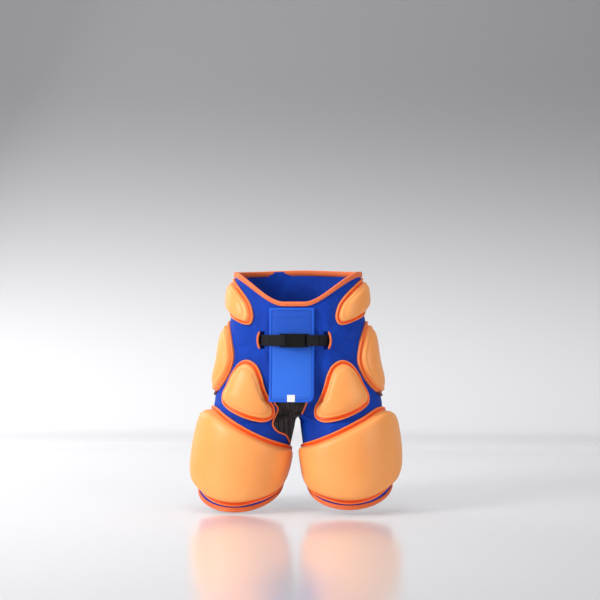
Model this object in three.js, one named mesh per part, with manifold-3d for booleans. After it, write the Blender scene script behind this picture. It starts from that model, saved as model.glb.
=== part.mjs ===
// Padded shorts of a field hockey goalkeeper, in the shape they have when worn: blue stretch cloth with a black
// gusset, moulded foam pads at the waist, hips, groin and thighs, a closing flap, and a strap with a side release
// buckle. Millimetres, +Z up. The wearer faces -Y, so +X is the wearer's left. The origin is the waist's centre.

import * as THREE from "three";
import { mergeVertices } from "three/addons/utils/BufferGeometryUtils.js";
import Module from "manifold-3d";

const wasm = await Module();
wasm.setup();

// Sizes of the cloth body
const HIP_WIDTH = 372;
const HIP_DEPTH = 240;
const RISE = 272; // from the waist down to the crotch
const THIGH_WIDTH = 204;
const THIGH_DEPTH = 208;
const LEG_LENGTH = 205; // from the crotch to the lowest point of the shorter hem
const RIGHT_LEG_LONGER = 9;
const STANCE = 264; // between the middles of the two hems
const LEG_SWAY = -8; // both hems, towards the wearer's right
const CLOTH = 3;
const GAP = 0.3; // between neighbouring pieces
const BLEND = 14; // roundness of the creases where the legs meet the hips

// Waist and hem edges
const WAIST_SIDE_RISE = 64; // how far the waist edge stands above the origin at the sides
const WAIST_BACK_RISE = 70;
const WAIST_FRONT_DROP = 6;
const HEM_LIFT = 90; // how far the back of a hem lies above its front
const BINDING_WIDTH = 9;
const BINDING_THICKNESS = 1.4;

// Sections of the hips and legs: down is 0 at the waist, 1 at the crotch and 2 at the hem, the other columns are
// shares of half the width, depth or stance
const HIPS = [
  { down: -0.26, wide: 0.78, front: 0.86, back: 0.92 },
  { down: 0, wide: 0.805, front: 0.9, back: 0.95 },
  { down: 0.22, wide: 0.87, front: 0.92, back: 1.02 },
  { down: 0.48, wide: 0.915, front: 0.9, back: 1.1 },
  { down: 0.7, wide: 0.95, front: 0.86, back: 1.11 },
  { down: 0.87, wide: 0.96, front: 0.74, back: 0.96 },
  { down: 0.965, wide: 0.72, front: 0.5, back: 0.6 },
  { down: 1.03, wide: 0.3, front: 0.17, back: 0.2 },
  { down: 1.09, wide: 0.04, front: 0.03, back: 0.03 },
];
const HIP_SQUARENESS = 2.35;
const LEGS = [
  { down: 0.4, out: 0.62, wide: 0.62, deep: 0.72 },
  { down: 0.7, out: 0.71, wide: 0.88, deep: 0.93 },
  { down: 1, out: 0.79, wide: 0.99, deep: 1 },
  { down: 1.27, out: 0.865, wide: 1.01, deep: 1 },
  { down: 1.6, out: 0.94, wide: 0.99, deep: 0.985 },
  { down: 1.83, out: 0.98, wide: 0.965, deep: 0.96 },
  { down: 2, out: 1, wide: 0.94, deep: 0.93 },
];

// Moulded pads
const FLANGE_WIDTH = 9; // the stitched edge round each pad
const FLANGE_THICKNESS = 4.2;
const WAIST_PAD_THICKNESS = 20;
const HIP_PAD_THICKNESS = 23;
const GROIN_PAD_THICKNESS = 21;
const THIGH_PAD_THICKNESS = 30;
const INNER_THIGH_THICKNESS = 13; // where a thigh pad faces the other leg
const PAD_SINK = 4; // how deep a pad's blank starts below the cloth, before the cloth is cut from it

// Closing flap, with a blank label on its lower edge
const FLAP_WIDTH = 103;
const FLAP_HEIGHT = 214;
const FLAP_THICKNESS = 4;
const FLAP_MIDDLE = -4.5; // across, from the wearer's middle
const FLAP_TOP = 18; // below the waist's centre
const FLAP_STAND_OFF = 14; // of its lower end, in front of the line where it leaves the cloth
const FLAP_CORNER = 16;
const LABEL_WIDTH = 18;
const LABEL_HEIGHT = 16;
const LABEL_THICKNESS = 0.8;
const LABEL_GAP = 0.6;

// Strap and side release buckle
const WEBBING_WIDTH = 25;
const WEBBING_THICKNESS = 1.8;
const STRAP_DROP = 92; // below the waist's centre
const STRAP_TAIL = 22; // of webbing folded back over itself
const STRAP_SEWN = 22; // of webbing behind the cloth
const SLIT_FROM_MIDDLE = 68;
const SLIT_WIDTH = 9;
const SLIT_BOW = 5; // how much wider the slit is half way up
const SLIT_HEIGHT = 40;
const TAPE_RADIUS = 2.6; // of the bound edge round a slit
const PIPING_RADIUS = 2.2;
const CORD_SINK = 0.7; // how deep a piping's blank reaches into the cloth, before the cloth is cut from it
const BUCKLE_LENGTH = 66;
const BUCKLE_WIDTH = 31;
const BUCKLE_THICKNESS = 11;
const BUCKLE_MIDDLE = 2;
const BUCKLE_PLATE = 3.2; // thickness of its bars
const BUCKLE_BAR = 3.4; // width of its bars
const BUCKLE_SLOT = 5;
const BUCKLE_WALL = 2.2;
const PRONG_LENGTH = 22;
const PRONG_WIDTH = 4.6;
const FREE_PLAY = 0.5; // round the webbing and between the buckle's halves
const JOIN = 1; // how far two shapes of one piece run into each other

const RIGHT = { name: "right", sign: -1, longer: RIGHT_LEG_LONGER };
const LEFT = { name: "left", sign: 1, longer: 0 };
const SIDES = [RIGHT, LEFT];

// Colours and finishes
const BLUE_CLOTH = new THREE.MeshStandardMaterial({ color: 0x0c3c9c, roughness: 0.75 });
const FLAP_CLOTH = new THREE.MeshStandardMaterial({ color: 0x2f6fd0, roughness: 0.7 });
const BLACK_CLOTH = new THREE.MeshStandardMaterial({ color: 0x1b1918, roughness: 0.8 });
const ORANGE_FOAM = new THREE.MeshStandardMaterial({ color: 0xf99a50, roughness: 0.5 });
const ORANGE_TAPE = new THREE.MeshStandardMaterial({ color: 0xf0682a, roughness: 0.6 });
const BLACK_WEBBING = new THREE.MeshStandardMaterial({ color: 0x1e1e22, roughness: 0.8 });
const BLACK_PLASTIC = new THREE.MeshStandardMaterial({ color: 0x0e100e, roughness: 0.4 });
const WHITE_LABEL = new THREE.MeshStandardMaterial({ color: 0xf2f2f0, roughness: 0.7 });

const { clamp, degToRad, lerp, smoothstep } = THREE.MathUtils;
const vector = (x, y, z) => new THREE.Vector3(x, y, z);

// One column of a table at a place down the shorts, on a smooth curve through its rows.
function along(table, column, down) {
  const last = table.length - 1;
  const at = clamp(down, table[0].down, table[last].down);
  let i = 0;
  while (i < last - 1 && at > table[i + 1].down) i += 1;
  const slope = (k) => {
    const [a, b] = [table[Math.max(k - 1, 0)], table[Math.min(k + 1, last)]];
    return (b[column] - a[column]) / (b.down - a.down);
  };
  const [a, b] = [table[i], table[i + 1]];
  const span = b.down - a.down;
  const t = (at - a.down) / span;
  return (
    a[column] * (1 + 2 * t) * (1 - t) ** 2 +
    slope(i) * span * t * (1 - t) ** 2 +
    b[column] * t * t * (3 - 2 * t) -
    slope(i + 1) * span * t * t * (1 - t)
  );
}

const downAt = (z) => (z > -RISE ? -z / RISE : 1 + (-z - RISE) / LEG_LENGTH);
const heightAt = (side, down) => (down < 1 ? -down * RISE : -RISE - (down - 1) * (LEG_LENGTH + side.longer));

// The middle of one leg, or of one half of the hips above it.
function legMiddle(side, z) {
  const down = downAt(z);
  const sway = LEG_SWAY * clamp(down - 1, 0, 1);
  return vector((side.sign * along(LEGS, "out", down) * STANCE) / 2 + sway, 0, z);
}
const bodyMiddle = (side, z) => vector(0, 0, z);

// About how far a point lies outside an oval, in millimetres, and below zero inside it.
function outsideOval(x, y, wide, deep, squareness) {
  const size = (Math.abs(x / wide) ** squareness + Math.abs(y / deep) ** squareness) ** (1 / squareness);
  return (size - 1) * Math.min(wide, deep);
}

function smallerBlended(a, b) {
  const overlap = Math.max(BLEND - Math.abs(a - b), 0) / BLEND;
  return Math.min(a, b) - (overlap * overlap * BLEND) / 4;
}

// Below zero inside the outer face of the cloth: the hips and the two legs, run together smoothly.
function outsideCloth(p) {
  const down = downAt(p.z);
  const hipWide = (along(HIPS, "wide", down) * HIP_WIDTH) / 2;
  const hipDeep = (along(HIPS, p.y < 0 ? "front" : "back", down) * HIP_DEPTH) / 2;
  const legWide = (along(LEGS, "wide", down) * THIGH_WIDTH) / 2;
  const legDeep = (along(LEGS, "deep", down) * THIGH_DEPTH) / 2;
  const hips = Math.max(outsideOval(p.x, p.y, hipWide, hipDeep, HIP_SQUARENESS), -RISE - p.z);
  const legs = SIDES.map((side) => {
    const middle = legMiddle(side, p.z);
    return outsideOval(p.x - middle.x, p.y - middle.y, legWide, legDeep, 2);
  });
  return Math.min(...legs.map((leg) => smallerBlended(hips, leg)));
}

// Where a ray from inside leaves the cloth's outer face, moved outwards from that face by a lift.
const MARCH = 6;
const FARTHEST = HIP_WIDTH;
const HALVINGS = 14;
const PROBE = 0.5;
function onCloth(from, direction, lift = 0) {
  const at = (reach) => from.clone().addScaledVector(direction, reach);
  let far = MARCH;
  while (far < FARTHEST && outsideCloth(at(far)) < 0) far += MARCH;
  let near = far - MARCH;
  for (let i = 0; i < HALVINGS; i += 1) {
    const middle = (near + far) / 2;
    if (outsideCloth(at(middle)) < 0) near = middle;
    else far = middle;
  }
  const p = at(near);
  const rise = (axis) => outsideCloth(p.clone().add(axis)) - outsideCloth(p.clone().sub(axis));
  const normal = vector(rise(vector(PROBE, 0, 0)), rise(vector(0, PROBE, 0)), rise(vector(0, 0, PROBE)));
  return p.addScaledVector(normal.normalize(), lift);
}

// A turn is measured about a middle line: 0 is the front, 90 the outer side and 180 the back.
const turned = (side, turn) => vector(side.sign * Math.sin(degToRad(turn)), -Math.cos(degToRad(turn)), 0);
const aroundLeg = (side, turn, z, lift) => onCloth(legMiddle(side, z), turned(side, turn), lift);
const aroundBody = (side, turn, z, lift) => onCloth(bodyMiddle(side, z), turned(side, turn), lift);
const clothFront = (x, z, lift) => onCloth(vector(x, 0, z), vector(0, -1, 0), lift);

// Solids from lists of points and faces, and back
function solidFrom(points, faces) {
  const triangles = faces.flatMap((f) => f.slice(2).flatMap((_, i) => [f[0], f[i + 1], f[i + 2]]));
  const mesh = new wasm.Mesh({
    numProp: 3,
    vertProperties: new Float32Array(points.flatMap((p) => p.toArray())),
    triVerts: new Uint32Array(triangles),
  });
  return new wasm.Manifold(mesh);
}

function solidFromGeometry(geometry) {
  const bare = geometry.index ? geometry.toNonIndexed() : geometry.clone();
  bare.deleteAttribute("normal").deleteAttribute("uv");
  const merged = mergeVertices(bare, 1e-3);
  const mesh = new wasm.Mesh({
    numProp: 3,
    vertProperties: new Float32Array(merged.attributes.position.array),
    triVerts: new Uint32Array(merged.index.array),
  });
  return new wasm.Manifold(mesh);
}

function geometryFrom(solid) {
  const mesh = solid.getMesh();
  const geometry = new THREE.BufferGeometry();
  geometry.setAttribute("position", new THREE.BufferAttribute(mesh.vertProperties, mesh.numProp));
  geometry.setIndex(new THREE.BufferAttribute(mesh.triVerts, 1));
  geometry.computeVertexNormals();
  return geometry;
}

// A skin over rings of points, each ring closed. Its ends are closed by fans, or it runs round to its start.
function skinSolid(rings, { round = false, flip = false, crown = null } = {}) {
  const count = rings[0].length;
  const points = rings.flat();
  const faces = [];
  const next = (i) => (i + 1) % count;
  const bands = round ? rings.length : rings.length - 1;
  for (let k = 0; k < bands; k += 1) {
    const [upper, lower] = [k * count, ((k + 1) % rings.length) * count];
    for (let i = 0; i < count; i += 1) faces.push([upper + i, lower + i, lower + next(i), upper + next(i)]);
  }
  if (!round) {
    const middleOf = (ring) => ring.reduce((sum, p) => sum.add(p), vector(0, 0, 0)).divideScalar(count);
    const first = points.push(middleOf(rings[0])) - 1;
    const last = points.push(crown ?? middleOf(rings.at(-1))) - 1;
    const shift = (rings.length - 1) * count;
    for (let i = 0; i < count; i += 1) faces.push([first, i, next(i)], [last, shift + next(i), shift + i]);
  }
  return solidFrom(points, flip ? faces.map((f) => [...f].reverse()) : faces);
}

// A flat outline in the XZ plane as a prism from one Y to another.
function prismAlongY(outline, front, back) {
  const geometry = new THREE.ExtrudeGeometry(new THREE.Shape(outline), { depth: back - front, bevelEnabled: false });
  geometry.rotateX(Math.PI / 2).translate(0, back, 0);
  return solidFromGeometry(geometry);
}

function box(x, y, z, width, depth, height) {
  return solidFromGeometry(new THREE.BoxGeometry(width, depth, height).translate(x, y, z));
}

// A closed outline moved outwards by a distance, or inwards below zero.
function grown(outline, distance) {
  const clockwise = THREE.ShapeUtils.isClockWise(outline) ? 1 : -1;
  return outline.map((p, i) => {
    const before = outline.at(i - 1);
    const after = outline[(i + 1) % outline.length];
    const into = p.clone().sub(before).normalize();
    const out = after.clone().sub(p).normalize();
    const along = into.add(out).normalize();
    return p.clone().add(new THREE.Vector2(-along.y, along.x).multiplyScalar(clockwise * distance));
  });
}

// A round cord along points.
function cord(points, radius, steps, sides) {
  const round = Array.from({ length: sides }, (_, i) => {
    const angle = (2 * Math.PI * i) / sides;
    return new THREE.Vector2(Math.cos(angle), Math.sin(angle)).multiplyScalar(radius);
  });
  const path = new THREE.CatmullRomCurve3(points);
  const options = { steps, bevelEnabled: false, extrudePath: path };
  return solidFromGeometry(new THREE.ExtrudeGeometry(new THREE.Shape(round), options));
}

// The edges of the cloth: the waist dips in front, the hems rise from the front to the back.
function waistHeight(turn) {
  const toSide = smoothstep(Math.abs(turn), 12, 78);
  const toBack = smoothstep(Math.abs(turn), 90, 180);
  return lerp(-WAIST_FRONT_DROP, WAIST_SIDE_RISE, toSide) + (WAIST_BACK_RISE - WAIST_SIDE_RISE) * toBack;
}
function hemHeight(side, turn) {
  const lowest = -RISE - LEG_LENGTH - side.longer;
  return lowest + (HEM_LIFT * (1 - Math.cos(degToRad(turn)))) / 2;
}

// The cloth body as a grid of rings, lifted off the outer face: rings round the hips, a seam through the crotch,
// and rings round each leg.
const RING = 40; // points round the hips
const INSIDE_LEG = 8; // steps across the inside of each leg
const HIP_ROWS = 8;
const LEG_ROWS = 6;
const NOTCH = 10; // height of the band between the last ring of the hips and the first of the legs
const LEG_TURN = 40; // how far a leg's outer points reach round to its inside
const HALF = RING / 2;
const rowShares = (rows, length, edgeFirst) => {
  const edge = BINDING_WIDTH / length;
  const inner = Array.from({ length: rows - 1 }, (_, i) => edge + ((1 - edge) * i) / (rows - 2));
  const shares = [0, ...inner];
  return edgeFirst ? shares : shares.map((s) => 1 - s).reverse();
};

const lastHip = -RISE + NOTCH;
const firstLeg = -RISE - NOTCH;
const hipTurn = (j) => (360 * j) / RING - (j > HALF ? 360 : 0);
const legTurns = Array.from({ length: HALF + INSIDE_LEG }, (_, j) =>
  j <= HALF
    ? -LEG_TURN + ((180 + 2 * LEG_TURN) * j) / HALF
    : 180 + LEG_TURN + ((180 - 2 * LEG_TURN) * (j - HALF)) / INSIDE_LEG,
);
const hipLoop = (share, lift) =>
  Array.from({ length: RING }, (_, j) => {
    const z = lerp(waistHeight(hipTurn(j)), lastHip, share);
    return aroundBody(LEFT, hipTurn(j), z, lift);
  });
const legLoop = (side, share, lift) =>
  legTurns.map((turn) => aroundLeg(side, turn, lerp(firstLeg, hemHeight(side, turn), share), lift));
const waistLine = (width, lift) => hipLoop(width / RISE, lift);
const hemLine = (side, width, lift) => legLoop(side, 1 - width / LEG_LENGTH, lift);

function clothGrid(lift) {
  const points = [];
  const faces = [];
  const add = (p) => points.push(p) - 1;
  const band = (upper, lower, flip, closed) => {
    const count = closed ? upper.length : upper.length - 1;
    for (let i = 0; i < count; i += 1) {
      const j = (i + 1) % upper.length;
      const quad = [upper[i], lower[i], lower[j], upper[j]];
      faces.push(flip ? quad.reverse() : quad);
    }
  };

  const hipRings = rowShares(HIP_ROWS, RISE, true).map((share) => hipLoop(share, lift).map(add));
  hipRings.slice(1).forEach((ring, i) => band(hipRings[i], ring, false, true));
  const lastRing = hipRings.at(-1);

  const crotch = Array.from({ length: INSIDE_LEG - 1 }, (_, i) => {
    const angle = (Math.PI * (i + 1)) / INSIDE_LEG;
    return add(onCloth(vector(0, 0, lastHip), vector(0, -Math.cos(angle), -Math.sin(angle)), lift));
  });

  const hems = SIDES.map((side) => {
    const rings = rowShares(LEG_ROWS, LEG_LENGTH, false).map((share) => legLoop(side, share, lift).map(add));
    const flip = side.sign < 0;
    const half = Array.from({ length: HALF + 1 }, (_, j) => lastRing[flip ? (RING - j) % RING : j]);
    band([...half, ...[...crotch].reverse()], rings[0], flip, true);
    rings.slice(1).forEach((ring, i) => band(rings[i], ring, flip, true));
    return flip ? [...rings.at(-1)].reverse() : rings.at(-1);
  });
  return { points, faces, waist: hipRings[0], hems };
}

// The whole space inside a lifted outer face, capped at the waist and hems.
function filledBody(lift) {
  const { points, faces, waist, hems } = clothGrid(lift);
  const middleOf = (ring) => {
    const sum = ring.reduce((total, i) => total.add(points[i]), vector(0, 0, 0));
    return points.push(sum.divideScalar(ring.length)) - 1;
  };
  const cap = (ring, up) => {
    const middle = middleOf(ring);
    ring.forEach((a, i) => {
      const b = ring[(i + 1) % ring.length];
      faces.push(up ? [middle, a, b] : [middle, b, a]);
    });
  };
  cap(waist, true);
  hems.forEach((hem) => cap(hem, false));
  return solidFrom(points, faces);
}

// A wall between two lifts of the same grid, open at the waist and hems.
function clothWall(outerLift, innerLift) {
  const outer = clothGrid(outerLift);
  const inner = clothGrid(innerLift);
  const shift = outer.points.length;
  const faces = [...outer.faces, ...inner.faces.map((f) => f.map((i) => i + shift).reverse())];
  const rim = (ring, up) =>
    ring.forEach((a, i) => {
      const b = ring[(i + 1) % ring.length];
      const quad = [a, b, b + shift, a + shift];
      faces.push(up ? quad : quad.reverse());
    });
  rim(outer.waist, true);
  outer.hems.forEach((hem) => rim(hem, false));
  return solidFrom([...outer.points, ...inner.points], faces);
}

const clearOfCloth = filledBody(GAP).add(filledBody(GAP / 4));

// The black panel between the legs: its outline in front is wider on the wearer's right, and it runs through to a
// smaller diamond behind. Across is a share of half the stance.
const GUSSET_RIGHT = [
  { across: -0.34, down: 0.78 },
  { across: -0.35, down: 0.86 },
  { across: -0.3, down: 0.912 },
  { across: -0.335, down: 0.97 },
  { across: -0.385, down: 1.04 },
  { across: -0.37, down: 1.1 },
  { across: -0.3, down: 1.155 },
  { across: -0.19, down: 1.2 },
  { across: -0.15, down: 1.26 },
  { across: -0.13, down: 1.31 },
];
const GUSSET_LEFT = [
  { across: -0.015, down: 1.31 },
  { across: -0.01, down: 1.08 },
  { across: 0.05, down: 1.015 },
  { across: 0.12, down: 0.96 },
  { across: 0.19, down: 0.886 },
  { across: 0.24, down: 0.83 },
  { across: 0.3, down: 0.78 },
];
const GUSSET_BEHIND = [
  { across: 0, down: 0.9 },
  { across: -0.3, down: 1.05 },
  { across: -0.1, down: 1.24 },
  { across: -0.015, down: 1.24 },
  { across: 0.1, down: 1.2 },
  { across: 0.3, down: 1.05 },
];
const GUSSET_STEPS = 12;
const UNDER_FLAP = 2; // points of each seam that the flap hides, without piping
const INTO_CROTCH = 3; // points of the left seam between the legs, without piping
const flatPoint = ({ across, down }) => new THREE.Vector2((across * STANCE) / 2, heightAt(LEFT, down));
const rightSeam = new THREE.SplineCurve(GUSSET_RIGHT.map(flatPoint)).getPoints(GUSSET_STEPS);
const leftSeam = new THREE.SplineCurve(GUSSET_LEFT.slice(2).map(flatPoint)).getPoints(GUSSET_STEPS);
const frontWindow = [...rightSeam, ...GUSSET_LEFT.slice(0, 2).map(flatPoint), ...leftSeam];
const backWindow = GUSSET_BEHIND.map(flatPoint);

function gussetWindow(growth) {
  const front = prismAlongY(grown(frontWindow, growth), -HIP_DEPTH, JOIN + growth);
  return front.add(prismAlongY(grown(backWindow, growth), -JOIN - growth, HIP_DEPTH));
}

const gussetPiping = (seam) => {
  const points = seam.map((p) => clothFront(p.x, p.y, PIPING_RADIUS - CORD_SINK));
  return cord(points, PIPING_RADIUS, GUSSET_STEPS, 6).subtract(clearOfCloth);
};
const rightPiping = () => gussetPiping(rightSeam.slice(UNDER_FLAP));
const leftPiping = () => gussetPiping(leftSeam.slice(INTO_CROTCH, -UNDER_FLAP));

// Tape folded over an edge of the cloth. A line gives the loop of points at the edge, or at the tape's own edge.
function foldedTape(line, up, flip) {
  const outer = GAP + BINDING_THICKNESS;
  const inner = -CLOTH - GAP;
  const shifted = (loop, rise) => loop.map((p) => p.add(vector(0, 0, up * rise)));
  const rings = [
    line(BINDING_WIDTH, outer),
    shifted(line(0, outer), outer),
    shifted(line(0, inner - BINDING_THICKNESS), outer),
    line(BINDING_WIDTH, inner - BINDING_THICKNESS),
    line(BINDING_WIDTH, inner),
    shifted(line(0, inner), GAP),
    shifted(line(0, GAP), GAP),
    line(BINDING_WIDTH, GAP),
  ];
  return skinSolid(rings, { round: true, flip });
}

const waistBinding = () => foldedTape((width, lift) => waistLine(width, lift), 1, true);
const legBinding = (side) => foldedTape((width, lift) => hemLine(side, width, lift), -1, side.sign < 0);

// A pad's height over its flange at shares of the way from the flange's inner edge to the middle.
const SMALL_CROWN = [
  { inwards: 0, height: 0 },
  { inwards: 0.08, height: 0.5 },
  { inwards: 0.3, height: 0.88 },
];
const THIGH_CROWN = [
  { inwards: 0, height: 0 },
  { inwards: 0.04, height: 0.42 },
  { inwards: 0.13, height: 0.8 },
  { inwards: 0.4, height: 0.97 },
  { inwards: 0.7, height: 1 },
];

// Outlines of the moulded pads: a turn in degrees about the body or the leg, and a place down the shorts.
const WAIST_PAD = {
  thickness: WAIST_PAD_THICKNESS,
  crown: SMALL_CROWN,
  around: aroundBody,
  reach: HIP_WIDTH / 2,
  points: 28,
  outline: [
    [92, -0.19],
    [70, -0.132],
    [52, 0],
    [45.5, 0.12],
    [47, 0.196],
    [53, 0.208],
    [66, 0.172],
    [86, 0.115],
    [104, 0.05],
    [113, -0.04],
    [108, -0.15],
  ],
};
const HIP_PAD = {
  thickness: HIP_PAD_THICKNESS,
  crown: SMALL_CROWN,
  around: aroundBody,
  reach: HIP_WIDTH / 2,
  points: 28,
  outline: [
    [84, 0.19],
    [73, 0.27],
    [66.5, 0.4],
    [64.5, 0.54],
    [68, 0.67],
    [77, 0.775],
    [90, 0.83],
    [103, 0.77],
    [113, 0.65],
    [117, 0.5],
    [113, 0.33],
    [100, 0.205],
  ],
};
const GROIN_PAD = {
  thickness: GROIN_PAD_THICKNESS,
  crown: SMALL_CROWN,
  around: aroundLeg,
  reach: THIGH_WIDTH / 2,
  points: 32,
  outline: [
    [14, 0.505],
    [0, 0.545],
    [-9, 0.63],
    [-16, 0.74],
    [-24, 0.835],
    [-32, 0.91],
    [-32, 0.99],
    [-21, 1.035],
    [-5, 1.02],
    [12, 0.98],
    [31, 0.925],
    [43, 0.87],
    [46, 0.8],
    [41, 0.71],
    [36, 0.615],
    [27, 0.535],
  ],
};
const THIGH_PAD = {
  thickness: THIGH_PAD_THICKNESS,
  crown: THIGH_CROWN,
  around: aroundLeg,
  reach: THIGH_WIDTH / 2,
  points: 44,
  outline: [
    [105, 0.97],
    [88, 0.925],
    [68, 0.91],
    [50, 0.93],
    [30, 0.985],
    [9, 1.065],
    [-12, 1.15],
    [-36, 1.23],
    [-62, 1.29],
    [-85, 1.335],
    [-98, 1.42],
    [-101, 1.55],
    [-93, 1.68],
    [-78, 1.765],
    [-58, 1.84],
    [-35, 1.895],
    [-8, 1.94],
    [14, 1.935],
    [34, 1.895],
    [55, 1.82],
    [77, 1.73],
    [96, 1.6],
    [110, 1.44],
    [115, 1.26],
    [113, 1.08],
  ],
};

// A thigh pad thins towards the other leg, between two turns.
const THIGH_CROWN_START = -25;
const THIGH_CROWN_END = -85;

function padThickness(pad, turn) {
  if (pad !== THIGH_PAD) return pad.thickness;
  const share = smoothstep(-turn, -THIGH_CROWN_START, -THIGH_CROWN_END);
  return lerp(pad.thickness, INNER_THIGH_THICKNESS, share);
}

function padSolid(pad, side) {
  const flat = pad.outline.map(([turn, down]) => vector(degToRad(turn) * pad.reach, heightAt(side, down), 0));
  const curve = new THREE.CatmullRomCurve3(flat, true);
  const shares = Array.from({ length: pad.points }, (_, i) => i / pad.points);
  const edge = shares.map((share) => curve.getPointAt(share));
  const middle = edge.reduce((sum, p) => sum.add(p), vector(0, 0, 0)).divideScalar(pad.points);
  const onPad = (p, height) => {
    const turn = THREE.MathUtils.radToDeg(p.x / pad.reach);
    return pad.around(side, turn, p.y, height(turn));
  };
  const ring = (inset, inwards, height) =>
    shares.map((share, i) => {
      const tangent = curve.getTangentAt(share);
      const spoke = edge[i].clone().sub(middle);
      const reach = spoke.length();
      spoke.normalize();
      const facing = Math.max(Math.abs(spoke.x * tangent.y - spoke.y * tangent.x), 0.5);
      const kept = (reach - inset / facing) * (1 - inwards);
      return onPad(middle.clone().addScaledVector(spoke, kept), height);
    });
  const crownHeight = (share) => (turn) => lerp(FLANGE_THICKNESS, padThickness(pad, turn), share);
  const rings = [
    ring(0, 0, () => -PAD_SINK),
    ring(0, 0, () => FLANGE_THICKNESS),
    ...pad.crown.map(({ inwards, height }) => ring(FLANGE_WIDTH, inwards, crownHeight(height))),
  ];
  const crown = onPad(middle, crownHeight(1));
  return skinSolid(rings, { crown, flip: side.sign > 0 }).subtract(clearOfCloth);
}

// The closing flap follows the front, held against it by the strap, and its lower end stands off.
const FLAP_COLUMNS = 6;
const FLAP_ROWS = 9;
const FLAP_SPARE = 3; // of its blank beyond its outline
const FLAP_BOTTOM = -FLAP_TOP - FLAP_HEIGHT;
const FLAP_CLEARS_AT = -0.62 * RISE; // the flap hangs clear of the cloth below this height

function onFlap(x, z, lift) {
  const lower = clamp((-STRAP_DROP - z) / (FLAP_HEIGHT - STRAP_DROP), 0, 2);
  const standOff = FLAP_STAND_OFF * lower * lower;
  const cloth = clothFront(x, Math.max(z, FLAP_CLEARS_AT), 0);
  return vector(x, cloth.y - GAP - standOff - lift, z);
}

function slab(left, right, bottom, top, columns, rows, inner, outer) {
  const sheet = (lift) =>
    Array.from({ length: rows + 1 }, (_, r) =>
      Array.from({ length: columns + 1 }, (__, c) =>
        onFlap(lerp(left, right, c / columns), lerp(top, bottom, r / rows), lift),
      ),
    );
  const [front, back] = [sheet(outer), sheet(inner)];
  const rings = front.map((row, r) => [...row, ...back[r].reverse()]);
  return skinSolid(rings);
}

function flapSolid() {
  const [left, right] = [FLAP_MIDDLE - FLAP_WIDTH / 2, FLAP_MIDDLE + FLAP_WIDTH / 2];
  const shape = new THREE.Shape();
  shape.moveTo(left, -FLAP_TOP);
  shape.lineTo(left, FLAP_BOTTOM);
  shape.lineTo(right - FLAP_CORNER, FLAP_BOTTOM);
  shape.absarc(right - FLAP_CORNER, FLAP_BOTTOM + FLAP_CORNER, FLAP_CORNER, -Math.PI / 2, 0);
  shape.lineTo(right, -FLAP_TOP);
  const outline = prismAlongY(shape.getPoints(6), -HIP_DEPTH, 0);
  const [from, to] = [left - FLAP_SPARE, right + FLAP_SPARE];
  const [low, high] = [FLAP_BOTTOM - FLAP_SPARE, -FLAP_TOP + FLAP_SPARE];
  const blank = slab(from, to, low, high, FLAP_COLUMNS, FLAP_ROWS, 0, FLAP_THICKNESS);
  return blank.intersect(outline).subtract(clearOfCloth);
}

function labelSolid() {
  const [left, right] = [FLAP_MIDDLE - LABEL_WIDTH / 2, FLAP_MIDDLE + LABEL_WIDTH / 2];
  const inner = FLAP_THICKNESS + LABEL_GAP;
  const bottom = FLAP_BOTTOM + 1;
  return slab(left, right, bottom, bottom + LABEL_HEIGHT, 2, 2, inner, inner + LABEL_THICKNESS);
}

// Levels in front of the cloth, from the flap's face outwards.
const STRAP_LIFT = FLAP_THICKNESS + GAP + WEBBING_THICKNESS / 2 + FREE_PLAY;
const BUCKLE_BACK = STRAP_LIFT + WEBBING_THICKNESS / 2 + FREE_PLAY;
const buckleY = clothFront(BUCKLE_MIDDLE, -STRAP_DROP, 0).y - BUCKLE_BACK;
const PLUG_END = BUCKLE_MIDDLE - BUCKLE_LENGTH / 2;
const SOCKET_END = BUCKLE_MIDDLE + BUCKLE_LENGTH / 2;
const PLUG_BODY = PLUG_END + 2 * (BUCKLE_BAR + BUCKLE_SLOT);
const SOCKET_MOUTH = PLUG_BODY + BUCKLE_BAR;
const SOCKET_BODY = SOCKET_END - BUCKLE_BAR - BUCKLE_SLOT;

// Webbing along a route in the XY plane, its width along Z.
function webbing(route) {
  const half = WEBBING_THICKNESS / 2;
  const corner = (i) => {
    const [before, p, after] = [route[Math.max(i - 1, 0)], route[i], route[Math.min(i + 1, route.length - 1)]];
    const into = i > 0 ? p.clone().sub(before).normalize() : after.clone().sub(p).normalize();
    const out = i < route.length - 1 ? after.clone().sub(p).normalize() : into.clone();
    const along = into.clone().add(out).normalize();
    const across = new THREE.Vector2(-along.y, along.x);
    return across.multiplyScalar(half / Math.max(along.dot(into), 0.6));
  };
  const left = route.map((p, i) => p.clone().add(corner(i)));
  const right = route.map((p, i) => p.clone().sub(corner(i)));
  const shape = new THREE.Shape([...left, ...right.reverse()]);
  const geometry = new THREE.ExtrudeGeometry(shape, { depth: WEBBING_WIDTH, bevelEnabled: false });
  geometry.translate(0, 0, -STRAP_DROP - WEBBING_WIDTH / 2);
  return solidFromGeometry(geometry);
}

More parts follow.
